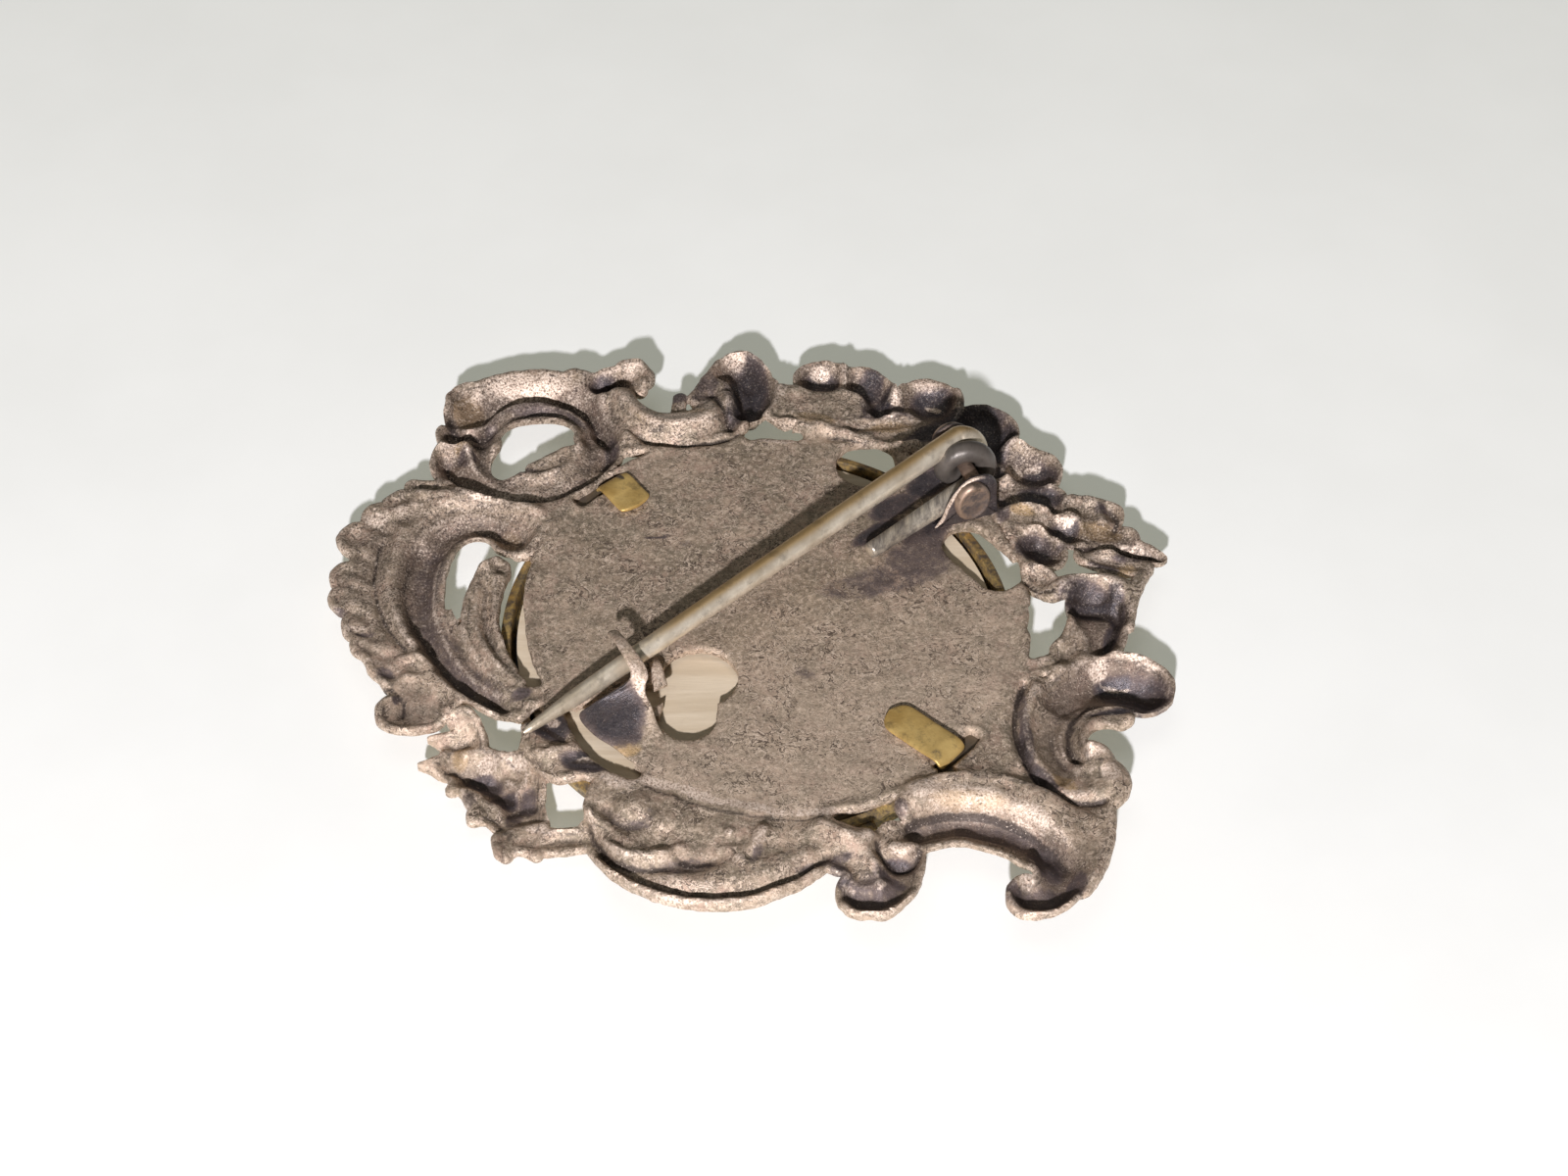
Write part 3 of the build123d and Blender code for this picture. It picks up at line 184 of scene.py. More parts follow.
# Fine grooves (minus) and ridges (plus) of the pressed back, each an arc with a width and a height.
MARKS = [
    (-16.2, 14.3, -12.8, 16.3, -9.7, 13.4, 0.36, -0.5), (-9.7, 13.4, -9.1, 12.3, -9.3, 10.9, 0.32, -0.5),
    (-17.6, 15.4, -13.2, 17.25, -9.5, 15.6, 0.5, 0.4), (-15.7, 13.2, -12.9, 15.3, -10.2, 13.1, 0.3, 0.25),
    (-15.4, 11.9, -12.95, 14.35, -10.5, 11.9, 0.28, 0.3),
    (-15.4, 11.9, -12.95, 9.45, -10.5, 11.9, 0.28, 0.25), (-16.8, 11.6, -14.4, 8.9, -10.6, 9.9, 0.4, 0.35),
    (-17.9, 11.0, -14.6, 8.0, -9.3, 10.2, 0.2, -0.5), (-17.9, 14.4, -17.3, 13.1, -15.6, 13.5, 0.25, -0.6),
    (-18.0, 13.2, -17.2, 12.4, -16.0, 12.6, 0.2, -0.35), (-18.2, 11.9, -17.4, 11.9, -16.5, 11.8, 0.3, 0.35),
    (-18.2, 11.3, -17.5, 11.2, -16.8, 11.1, 0.16, -0.3), (-9.5, 16.7, -8.9, 16.9, -8.2, 17.0, 0.55, -0.7),
    (-9.6, 17.5, -8.6, 17.9, -7.6, 18.1, 0.28, 0.3), (-8.0, 17.0, -7.6, 17.0, -7.3, 16.6, 0.2, 0.3),
    (-9.7, 15.8, -9.0, 13.9, -7.9, 12.4, 0.28, 0.35), (-8.2, 15.3, -5.7, 13.0, -3.0, 14.3, 0.35, 0.3),
    (-7.6, 15.7, -5.8, 14.3, -3.6, 15.3, 0.12, -0.25), (-7.0, 12.2, -5.2, 11.9, -2.6, 12.3, 0.22, -0.5),
    (-3.4, 15.8, -2.9, 14.5, -2.4, 13.2, 0.3, -0.5), (-3.1, 17.6, -2.3, 17.0, -2.0, 15.3, 0.2, -0.5),
    (-2.6, 18.7, -1.5, 19.0, -0.5, 18.3, 0.3, 0.4), (-0.6, 14.2, 0.0, 15.4, 0.3, 17.0, 0.25, 0.3),
    (-1.9, 13.1, 0.0, 13.6, 1.6, 12.9, 0.2, 0.2), (3.5, 16.5, 3.9, 17.3, 3.8, 18.1, 0.22, 0.55),
    (1.0, 15.9, 2.9, 16.3, 4.7, 15.6, 0.3, 0.25), (6.3, 15.8, 6.6, 16.2, 6.9, 16.6, 0.3, 0.45),
    (6.0, 14.2, 6.5, 14.3, 7.0, 14.6, 0.2, 0.3), (9.9, 15.1, 10.2, 15.7, 10.2, 16.2, 0.25, 0.45),
    (3.5, 12.5, 6.5, 13.2, 9.3, 13.6, 0.32, 0.3), (3.0, 12.3, 6.0, 12.0, 8.2, 12.4, 0.14, -0.3),
    (5.2, 12.0, 6.0, 11.9, 7.0, 11.2, 0.16, 0.25), (6.9, 11.8, 7.3, 12.0, 7.7, 11.8, 0.32, 0.35),
    (12.6, 12.0, 13.0, 12.2, 13.6, 12.2, 0.3, 0.5), (12.0, 11.0, 12.5, 10.4, 12.6, 9.6, 0.3, 0.4),
    (11.9, 9.3, 13.3, 9.5, 14.8, 9.0, 0.22, 0.3), (12.1, 7.6, 13.6, 7.7, 15.0, 7.3, 0.3, -0.5),
    (12.0, 8.6, 13.3, 8.7, 14.5, 8.3, 0.45, 0.25), (12.2, 6.7, 13.5, 7.2, 14.4, 6.9, 0.22, 0.4),
    (13.7, 5.6, 14.4, 5.4, 14.9, 4.8, 0.22, 0.45), (15.1, 6.7, 15.9, 6.6, 16.4, 5.6, 0.22, 0.35),
    (16.7, 7.9, 17.2, 7.4, 17.3, 6.7, 0.28, 0.3), (17.9, 7.3, 18.2, 6.7, 18.0, 6.0, 0.3, -0.4),
    (16.0, 4.5, 18.0, 4.6, 20.2, 3.9, 0.16, -0.5), (16.6, 3.9, 17.6, 4.1, 18.6, 3.4, 0.25, 0.3),
    (13.2, 2.9, 13.8, 2.9, 14.4, 2.3, 0.2, 0.3), (13.0, 2.0, 13.6, 1.4, 14.4, 1.3, 0.16, -0.35),
    (14.7, 1.6, 16.2, 2.1, 17.9, 1.7, 0.35, 0.35), (15.1, 0.9, 16.4, 1.3, 17.8, 0.9, 0.14, -0.35),
    (15.2, 0.2, 16.6, 0.6, 17.8, 0.0, 0.5, -0.5), (14.9, 0.1, 15.3, -1.0, 14.6, -2.2, 0.22, 0.35),
    (17.9, 0.8, 17.4, -1.0, 16.6, -2.4, 0.25, -0.55), (15.7, -1.1, 15.9, -1.8, 15.5, -2.8, 0.35, 0.3),
    (14.2, -4.3, 16.0, -3.0, 18.6, -3.2, 0.4, 0.45), (16.6, -4.4, 17.9, -4.4, 19.0, -5.0, 0.85, -0.55),
    (13.2, -5.2, 12.5, -7.8, 13.6, -10.6, 0.38, 0.4), (12.5, -4.9, 11.9, -7.8, 13.0, -10.9, 0.2, -0.5),
    (13.0, -11.0, 14.5, -11.9, 16.0, -11.9, 0.2, -0.45), (15.2, -5.7, 13.7, -7.6, 14.6, -10.0, 0.18, -0.22),
    (18.4, -6.2, 15.2, -6.4, 14.9, -9.4, 0.15, -0.5), (17.6, -6.9, 15.6, -7.2, 15.4, -8.9, 0.22, 0.35),
    (15.4, -9.0, 15.8, -8.8, 16.2, -9.2, 0.3, 0.35), (16.1, -9.9, 16.5, -10.3, 16.4, -10.9, 0.3, 0.3),
    (14.7, -9.8, 14.5, -10.8, 13.9, -11.3, 0.3, 0.35), (6.8, -11.6, 10.3, -10.7, 13.6, -12.2, 0.6, 0.3),
    (6.4, -13.3, 9.8, -12.6, 13.9, -15.4, 0.55, -0.5), (6.8, -14.4, 9.6, -13.9, 12.3, -15.2, 0.28, 0.3),
    (6.6, -14.0, 9.4, -13.6, 11.4, -14.2, 0.1, -0.2), (15.2, -12.9, 15.6, -14.3, 14.9, -16.4, 0.25, 0.25),
    (13.6, -16.1, 13.5, -17.4, 11.9, -17.9, 0.5, -0.12),
    (11.0, -17.4, 12.3, -18.3, 14.2, -17.5, 0.25, 0.35), (11.2, -16.8, 11.8, -16.2, 12.3, -15.7, 0.25, 0.3),
    (5.9, -14.5, 6.1, -14.6, 6.4, -14.6, 0.42, 0.5), (4.9, -14.6, 5.9, -15.6, 7.0, -14.8, 0.22, -0.45),
    (3.0, -14.3, 4.6, -15.6, 5.0, -17.0, 0.3, 0.3), (3.3, -16.4, 4.3, -16.8, 5.4, -16.6, 0.2, 0.3),
    (3.5, -17.5, 4.6, -17.8, 5.6, -17.4, 0.55, -0.12), (3.3, -17.9, 4.9, -18.4, 6.5, -17.4, 0.25, 0.35),
    (2.2, -13.4, 3.3, -14.2, 4.6, -14.4, 0.3, 0.35), (4.4, -14.0, 4.6, -14.3, 4.5, -14.7, 0.25, 0.3),
    (-6.2, -11.3, -2.4, -12.75, 2.3, -13.2, 0.42, -0.28),
    (-8.0, -12.6, -6.8, -11.75, -5.6, -12.6, 0.3, -0.2),
    (-8.0, -12.6, -6.8, -13.5, -5.6, -12.6, 0.3, -0.22), (-7.9, -11.1, -7.2, -11.0, -6.4, -11.1, 0.4, 0.12),
    (-4.9, -12.0, -4.9, -13.0, -5.4, -13.6, 0.3, 0.25), (-8.9, -12.9, -7.9, -14.7, -4.4, -14.8, 0.28, 0.4),
    (-8.8, -13.9, -7.6, -15.4, -5.0, -15.9, 0.22, -0.35),
    (-8.2, -15.2, -3.8, -17.35, 2.6, -15.2, 0.16, -0.3), (-8.2, -15.7, -3.8, -17.75, 2.0, -16.1, 0.25, 0.3),
    (-7.6, -14.9, -3.6, -16.6, 1.6, -15.0, 0.3, 0.25), (-0.95, -14.9, -0.7, -14.4, -0.5, -13.9, 0.32, 0.45),
    (-2.15, -14.0, -2.1, -14.0, -2.05, -14.0, 0.2, 0.35),
    (-1.65, -15.45, -1.6, -15.45, -1.55, -15.45, 0.26, 0.4),
    (-2.5, -14.9, -1.9, -14.9, -1.5, -14.9, 0.2, 0.25), (-4.4, -15.6, -3.7, -15.7, -3.0, -15.5, 0.5, -0.4),
    (-16.9, -9.6, -15.9, -9.2, -15.2, -9.4, 0.3, 0.25), (-15.3, -9.5, -14.6, -9.3, -13.4, -9.9, 0.28, 0.4),
    (-13.3, -9.6, -12.3, -10.2, -12.2, -11.2, 0.25, 0.4),
    (-14.9, -10.5, -14.3, -10.8, -13.7, -10.9, 0.4, -0.5),
    (-13.6, -11.6, -13.1, -11.7, -12.8, -11.9, 0.5, -0.45),
    (-14.6, -12.0, -13.8, -12.2, -13.2, -12.9, 0.3, 0.3),
    (-16.2, -10.4, -15.6, -10.3, -15.2, -10.8, 0.2, -0.3),
    (-15.2, -11.6, -14.7, -11.5, -14.4, -11.9, 0.2, 0.35),
    (-14.0, -13.1, -13.5, -13.3, -13.2, -13.9, 0.18, -0.3),
    (-13.3, -10.9, -12.8, -11.1, -12.6, -11.6, 0.16, 0.3),
    (-12.2, -13.4, -11.5, -13.2, -11.0, -13.3, 0.16, -0.25),
    (-12.9, -12.9, -12.3, -12.4, -11.6, -12.6, 0.3, -0.35),
    (-12.6, -14.0, -11.9, -13.6, -11.0, -13.6, 0.3, 0.3),
    (-11.2, -14.4, -10.3, -14.0, -9.1, -14.2, 0.2, 0.3),
    (-16.4, -8.7, -15.8, -8.9, -15.3, -8.6, 0.25, -0.25),
    (-11.5, -7.6, -10.8, -8.1, -10.3, -8.5, 0.65, -0.45), (-9.8, -9.7, -9.1, -9.8, -8.5, -9.9, 0.5, -0.35),
    (-12.7, -9.4, -11.2, -9.3, -9.9, -8.9, 0.3, 0.3), (-15.2, -7.4, -14.6, -7.9, -14.5, -8.9, 0.22, 0.25),
    (-12.6, -9.9, -11.5, -10.4, -10.8, -11.3, 0.22, 0.3), (-14.0, 6.1, -16.5, 7.0, -18.6, 5.2, 0.3, 0.35),
    (-14.2, 5.4, -15.6, 5.7, -16.9, 4.7, 0.35, -0.25), (-18.6, 5.0, -19.15, 1.6, -17.55, -2.0, 0.14, -0.24),
    (-17.55, -2.0, -15.7, -4.8, -12.6, -6.4, 0.14, -0.24), (-19.6, 5.8, -20.0, 2.0, -18.4, -1.9, 0.4, 0.3),
    (-20.7, 5.2, -20.6, 1.2, -18.7, -2.4, 0.12, -0.35), (-18.4, -1.9, -16.6, -4.7, -13.3, -6.7, 0.25, 0.25),
    (-17.5, 3.6, -17.3, -0.4, -13.7, -5.4, 0.3, 0.4), (-15.2, 2.0, -15.0, -1.4, -13.1, -4.7, 0.2, 0.3),
    (-15.9, 0.6, -15.5, -2.4, -13.5, -5.0, 0.16, 0.25), (-16.5, -0.4, -15.8, -2.8, -13.6, -5.3, 0.1, -0.2),
    (-14.4, 3.6, -14.9, 3.1, -15.4, 2.9, 0.2, 0.3), (-19.0, 8.3, -15.5, 7.8, -12.5, 6.7, 0.35, 0.35),
    (-19.8, 7.5, -19.1, 7.6, -18.6, 7.2, 0.25, 0.3), (-21.3, 7.2, -20.6, 7.1, -19.8, 7.2, 0.3, 0.35),
    (-19.7, -4.9, -18.7, -5.4, -18.5, -6.5, 0.14, -0.35),
    (-18.9, -4.4, -17.7, -4.3, -16.9, -5.3, 0.22, 0.25), (-18.9, -3.1, -18.1, -3.0, -17.2, -3.5, 0.2, 0.35),
    (-12.6, 3.0, -12.8, -0.6, -11.7, -4.5, 0.15, 0.15), (13.1, 0.9, 13.25, -1.0, 13.4, -2.6, 0.14, 0.2),
    (6.6, 11.3, 7.1, 11.35, 7.6, 11.55, 0.3, 0.4), (7.0, -14.15, 9.7, -13.75, 12.2, -15.0, 0.1, -0.16),
    (7.0, -14.45, 9.6, -14.1, 11.9, -15.2, 0.1, -0.16), (15.3, -6.2, 13.9, -7.6, 14.4, -9.6, 0.12, -0.2),
    (15.9, -6.5, 14.4, -7.8, 14.7, -9.3, 0.12, -0.2), (-8.4, 14.4, -5.6, 12.5, -2.6, 13.2, 0.12, -0.2),
    (-8.2, 12.9, -5.4, 11.95, -1.9, 12.6, 0.14, -0.3), (-17.6, 8.6, -14.4, 7.4, -11.6, 8.0, 0.12, -0.25),
    (-15.0, 5.9, -16.9, 6.0, -17.9, 4.2, 0.12, -0.22), (6.0, -11.9, 8.5, -11.2, 11.6, -11.5, 0.14, -0.12),
    (-14.9, 2.9, -14.5, 2.2, -14.1, 2.1, 0.2, 0.3), (-15.2, 1.9, -14.9, 1.3, -14.1, 1.2, 0.16, -0.22),
    (-14.4, 2.0, -14.45, 0.3, -13.6, -2.3, 0.22, 0.3), (-15.6, -0.2, -15.1, -1.8, -13.9, -3.9, 0.2, 0.25),
    (-14.95, 0.9, -14.8, -1.1, -13.6, -3.6, 0.12, -0.2), (-9.9, 18.0, -8.7, 18.35, -7.4, 18.3, 0.2, 0.25),
    (-8.9, 16.5, -8.5, 17.1, -8.6, 17.8, 0.14, -0.25),
]

# Leaf veins at the left: grooves between the lobes, each from the rim inwards, with a ridge above it.
VEINS = [(-22.6, 4.1), (-22.7, 1.9), (-22.3, 0.1), (-21.8, -1.3), (-21.0, -2.5), (-20.1, -4.0), (-21.7, 6.1)]
MARKS += [(x, y, x + 0.7, y - 0.05, x + 1.5, y - 0.5, 0.12, -0.17) for x, y in VEINS]
MARKS += [(x + 0.2, y + 0.6, x + 0.8, y + 0.5, x + 1.6, y, 0.25, 0.11) for x, y in VEINS]
# Ribs of the fan at the top.
MARKS += [(2.5 + 0.5 * cos(t), 12.4 + 0.6 * sin(t), 2.5 + 1.4 * cos(t), 12.4 + 1.8 * sin(t),
           2.5 + 2.1 * cos(t), 12.4 + 2.9 * sin(t), 0.14, 0.24) for t in np.linspace(0.45, 2.7, 9)]

# The setting's tabs and the ring's wall, as radii and heights.
Tab = namedtuple("Tab", "angle length slot_angle slot_length round_off")
TABS = {"upper": Tab(128.4, 2.6, 131.8, 3.1, 0.35), "lower": Tab(-41.5, 4.15, -39.8, 3.1, 0.95)}
LUG_ANGLE = -68.6
LUG_HEIGHT = 1.75
RING = [
    (12.4, 0.12), (12.5, 0.8), (12.85, 1.6), (13.1, 1.72), (13.12, 1.95), (13.0, 2.06), (12.66, 2.1), (12.6, 1.98),
    (12.6, 0.3), (12.2, 0.8), (12.0, 0.3), (11.8, 0.25), (11.7, 0.12), (11.8, 0.0), (12.28, 0.0),
]

# The catch's tongue and the stub beside it: both ends of each cross-section, with heights over the plate.
CATCH = [
    (-6.2, -10.1, -0.17, -4.9, -8.5, -0.17),
    (-6.9, -9.7, -0.12, -5.4, -8.1, 0.0),
    (-7.8, -8.95, 0.02, -5.75, -7.6, 0.4),
    (-8.85, -8.2, 0.12, -6.0, -7.0, 0.85),
    (-9.6, -7.1, 0.2, -6.3, -6.5, 1.2),
    (-8.9, -6.6, 0.6, -6.3, -6.15, 1.5),
    (-7.3, -6.15, 1.6, -6.2, -5.75, 1.75),
    (-7.05, -5.7, 2.0, -6.4, -5.25, 2.0),
    (-7.45, -4.95, 2.3, -6.9, -4.6, 2.3),
    (-7.85, -4.15, 2.3, -7.4, -3.85, 2.3),
    (-8.15, -3.4, 1.95, -7.75, -3.15, 1.95),
    (-8.3, -3.05, 1.6, -7.95, -2.85, 1.6),
]
STUB = [
    (-6.6, -3.0, -0.2, -6.0, -3.0, -0.2),
    (-6.4, -3.6, 0.25, -5.8, -3.6, 0.25),
    (-6.2, -4.2, 0.52, -5.6, -4.2, 0.52),
    (-6.05, -5.0, 0.45, -5.42, -4.8, 0.45),
    (-5.97, -5.6, 0.3, -5.3, -5.23, 0.3),
]

# Parts of the border that lie lower, as soft ellipses with a depth, kept at the same place in the view, where
# a height counts as SIGHT times as much up the plan.
DIPS = [(-14.1, -11.4, 4.4, 3.1, -50, 1.15), (-10.8, -15.0, 2.5, 2.2, 0, 1.1)]
SIGHT = 0.87

# Where the metal is dark, partly tarnished metal and partly painted shadow, such as the coil's shadow by the
# hinge; where it is bright, partly wear and partly painted highlights and glints; and where it is yellowish:
# soft ellipses, each with a place, half-lengths along its turn and across it, the turn in degrees, and a strength.
TARNISH_AND_SHADOW = [
    (-9.6, 17.0, 0.8, 0.6, 20, 0.9), (-10.4, 18.1, 0.7, 0.3, 20, 0.5), (-13.2, 15.2, 2.2, 0.6, 0, 0.5),
    (-10.9, 14.6, 1.3, 0.5, -50, 0.6), (-15.6, 13.6, 0.4, 1.0, 0, 0.4), (-17.9, 13.9, 0.5, 0.4, 0, 0.5),
    (-16.7, 11.2, 0.6, 0.5, 0, 0.6), (-13.3, 10.0, 1.2, 0.25, 0, 0.5), (-8.9, 12.0, 0.4, 1.2, 10, 0.7),
    (-5.4, 15.5, 0.6, 0.5, 0, 0.7), (-3.9, 16.2, 0.7, 1.5, -15, 0.5), (-1.6, 16.6, 1.15, 2.3, -5, 1.0),
    (-2.0, 14.5, 0.7, 1.1, -15, 0.9), (2.6, 17.3, 1.0, 0.8, 0, 0.8), (3.0, 16.6, 1.3, 0.35, -5, 0.8),
    (5.2, 16.9, 0.8, 1.2, -30, 0.85), (5.9, 15.4, 0.5, 1.4, -20, 0.9), (5.2, 14.8, 0.5, 1.0, 0, 0.55),
    (6.7, 15.1, 0.5, 0.35, 0, 0.75), (8.7, 15.8, 1.2, 0.95, 0, 0.9), (6.5, 14.3, 2.2, 0.25, 10, 0.6),
    (10.6, 14.0, 2.1, 1.3, 20, 1.0), (11.8, 12.6, 1.0, 1.8, 0, 1.0), (8.5, 12.9, 1.7, 0.7, 35, 0.95),
    (12.7, 12.9, 0.6, 1.0, 0, 0.75), (11.4, 10.6, 0.6, 1.8, 0, 1.0), (14.3, 10.0, 0.95, 1.1, 0, 0.9),
    (12.4, 10.4, 0.5, 0.6, 0, 0.7), (14.2, 8.4, 1.2, 0.6, -10, 0.85), (12.5, 7.9, 0.9, 0.3, -20, 0.75),
    (15.3, 5.9, 0.85, 0.6, 20, 0.9), (13.6, 4.4, 1.05, 0.9, 30, 0.85), (12.1, 6.6, 0.4, 0.7, 0, 0.65),
    (17.4, 7.3, 0.35, 0.35, 0, 0.7), (18.7, 3.9, 1.0, 0.35, 8, 0.8), (17.2, 3.1, 0.9, 0.3, -20, 0.7),
    (15.3, 4.5, 0.8, 0.25, 0, 0.5), (16.1, 1.0, 1.5, 0.95, -10, 0.85), (17.6, 0.6, 0.45, 1.4, 0, 0.9),
    (17.2, -1.3, 0.35, 1.0, -15, 0.8), (14.4, 0.4, 0.4, 0.5, 0, 0.6), (8.2, 8.9, 1.4, 0.8, 40, 0.95),
    (6.3, 7.2, 1.5, 0.7, 35, 0.8), (9.3, 9.7, 0.8, 0.7, 0, 0.95), (8.6, 6.2, 0.8, 1.5, -20, 0.8),
    (7.8, 4.9, 1.3, 1.1, 0, 0.6), (5.3, 5.3, 1.5, 0.5, 38, 0.8), (6.4, 2.3, 3.0, 1.1, 18, 0.47),
    (4.4, 1.6, 2.2, 0.9, 10, 0.4), (7.4, 3.4, 1.8, 1.3, 20, 0.55), (18.3, -4.9, 1.65, 1.3, -10, 0.8),
    (17.2, -3.95, 1.0, 0.45, 10, 1.0), (17.6, -6.35, 1.9, 0.24, 8, 1.0), (12.4, -8.6, 0.4, 1.7, 0, 0.7),
    (13.1, -10.7, 0.45, 1.2, 35, 0.75), (12.3, -6.4, 0.3, 1.4, 0, 0.5), (10.6, -13.6, 2.6, 0.6, -15, 0.42),
    (12.9, -15.2, 0.8, 1.2, 25, 0.7), (8.2, -13.1, 1.6, 0.35, 5, 0.3), (12.7, -17.4, 1.7, 0.7, 12, 0.55),
    (11.2, -17.2, 0.5, 0.6, 0, 0.7), (14.2, -16.8, 0.5, 1.0, -20, 0.6), (4.6, -17.2, 1.4, 0.9, 0, 0.5),
    (3.2, -16.4, 0.5, 0.8, 20, 0.7), (5.5, -16.4, 1.0, 0.35, -30, 0.6), (5.9, -15.4, 0.7, 0.3, 0, 0.85),
    (5.9, -12.6, 0.6, 0.5, 0, 0.55), (-4.0, -15.8, 1.5, 0.5, 5, 0.45), (-7.7, -13.0, 0.7, 0.3, -50, 0.3),
    (-5.9, -13.0, 0.7, 0.3, 50, 0.3), (-6.8, -13.5, 1.0, 0.3, 0, 0.35), (-6.8, -11.75, 0.9, 0.25, 0, 0.2),
    (-0.8, -15.2, 0.25, 0.7, -20, 0.5), (2.5, -15.6, 1.5, 0.3, 15, 0.5), (1.6, -4.3, 0.8, 0.35, -25, 0.35),
    (-11.0, -7.6, 1.1, 0.8, -30, 0.95), (-9.2, -9.8, 1.25, 0.6, -10, 0.95),
    (-14.2, -10.9, 0.9, 0.6, -20, 0.75), (-14.9, -12.2, 0.4, 0.6, 0, 0.4), (-13.2, -11.9, 0.7, 0.6, 0, 0.8),
    (-12.6, -13.2, 0.5, 0.6, 0, 0.5), (-12.0, -12.1, 0.5, 0.8, 0, 0.5), (-18.0, 2.5, 0.9, 2.8, -5, 0.36),
    (-17.0, -1.9, 0.8, 2.2, 32, 0.36), (-15.2, -4.4, 0.7, 2.2, 48, 0.4), (-20.9, -1.4, 0.6, 0.2, 0, 0.6),
    (-19.6, -3.9, 0.6, 0.35, -30, 0.5), (-18.9, -5.6, 0.2, 0.3, 0, 0.7), (-22.4, 0.1, 0.6, 0.2, -10, 0.6),
    (-12.6, -5.6, 0.6, 0.35, 30, 0.6), (-6.1, 5.0, 0.8, 0.1, 6, 0.8), (-4.6, 4.5, 0.5, 0.25, 0, 0.35),
]
WEAR_AND_HIGHLIGHTS = [
    (-13.8, 17.0, 2.8, 0.7, 3, 0.85), (-16.3, 16.4, 1.0, 0.6, 40, 0.6), (-11.0, 16.4, 0.6, 1.0, 30, 0.5),
    (-17.4, 12.1, 0.7, 0.3, 0, 0.7), (-16.0, 8.2, 1.3, 0.5, -15, 0.7), (-14.0, 8.7, 1.6, 0.5, 5, 0.6),
    (-13.2, 7.2, 0.8, 0.4, -25, 0.7), (-7.9, 17.6, 0.8, 0.6, 0, 0.7), (-7.2, 14.2, 1.3, 0.5, -45, 0.6),
    (-5.2, 13.4, 2.0, 0.6, 0, 0.85), (-3.3, 14.6, 0.8, 0.8, 0, 0.6), (-4.6, 15.0, 1.0, 0.25, 15, 0.8),
    (-2.3, 18.8, 0.7, 0.4, 0, 1.0), (0.4, 16.4, 0.4, 1.2, -15, 0.6), (2.5, 18.0, 0.6, 0.35, 0, 0.9),
    (3.8, 17.3, 0.22, 0.8, 0, 0.95), (6.7, 16.0, 0.4, 0.6, 0, 0.95), (6.6, 14.7, 0.6, 0.25, 10, 0.7),
    (8.4, 16.8, 1.2, 0.3, 0, 0.6), (8.8, 15.6, 0.5, 0.2, -20, 0.95), (13.0, 10.7, 0.5, 0.5, 0, 0.95),
    (14.1, 10.9, 0.5, 0.25, 0, 0.85), (14.1, 5.9, 0.4, 0.5, 0, 0.95), (15.4, 6.4, 0.6, 0.25, 0, 0.85),
    (19.0, 4.6, 0.9, 0.25, -25, 0.8), (17.0, 3.7, 0.8, 0.3, -10, 0.7), (15.6, 2.3, 1.4, 0.35, 10, 0.95),
    (17.5, 1.9, 0.7, 0.3, -30, 0.85), (18.2, -2.9, 1.5, 0.35, -25, 0.95), (16.4, -3.4, 0.6, 0.35, 20, 1.0),
    (17.3, -4.0, 0.9, 0.12, -5, 0.75), (13.4, -3.3, 0.6, 0.3, 20, 0.7), (19.8, -4.4, 0.2, 1.2, 0, 0.5),
    (9.4, -12.1, 3.0, 0.8, -3, 0.6), (7.2, -11.7, 1.1, 0.5, 10, 0.75), (12.3, -12.9, 1.3, 0.6, -30, 0.75),
    (15.7, -9.2, 0.6, 0.4, 0, 0.85), (16.4, -10.4, 0.5, 0.6, 0, 0.8), (14.6, -11.5, 0.8, 0.25, 0, 0.7),
    (11.9, -16.4, 0.5, 0.5, 0, 0.75), (11.9, -18.5, 0.35, 0.25, 0, 0.95), (6.0, -14.7, 0.6, 0.42, 10, 0.8),
    (3.3, -13.7, 1.2, 0.3, -35, 0.7), (4.3, -14.4, 0.5, 0.3, 0, 0.85), (3.5, -17.0, 0.4, 0.2, 0, 0.6),
    (-7.6, -10.9, 1.0, 0.5, -20, 0.95), (-5.9, -11.0, 1.5, 0.3, -12, 1.0),
    (-3.6, -11.7, 1.5, 0.3, -24, 1.0), (-1.0, -12.45, 1.8, 0.28, -13, 1.0),
    (2.0, -12.75, 1.5, 0.26, 0, 0.8), (-3.8, -16.8, 2.6, 0.35, 0, 0.4), (-0.7, -14.3, 0.35, 0.7, -15, 0.85),
    (-1.6, -15.5, 0.25, 0.2, 0, 0.95), (-2.1, -14.0, 0.2, 0.2, 0, 0.8), (-4.2, -17.8, 3.4, 0.25, 0, 0.75),
    (-21.2, 6.6, 0.8, 0.35, 0, 0.85), (-20.0, 7.2, 0.5, 0.3, 0, 0.85), (-21.4, -1.0, 0.6, 0.2, 0, 0.75),
    (-22.0, 0.7, 0.8, 0.25, -10, 0.55), (-20.0, -3.2, 0.7, 0.25, -5, 0.75), (-14.1, -9.9, 0.6, 0.4, 0, 1.0),
    (-12.7, -10.0, 0.9, 0.4, -30, 0.75), (-11.2, -13.9, 1.0, 0.3, -10, 0.75),
    (-10.9, -7.4, 0.4, 0.25, -20, 0.75), (-9.0, -9.7, 0.8, 0.18, -5, 0.85), (7.1, 11.7, 0.5, 0.35, 0, 0.85),
    (0.3, 12.05, 1.3, 0.18, 0, 0.9), (-6.7, -12.5, 0.9, 0.8, 0, 0.25),
]
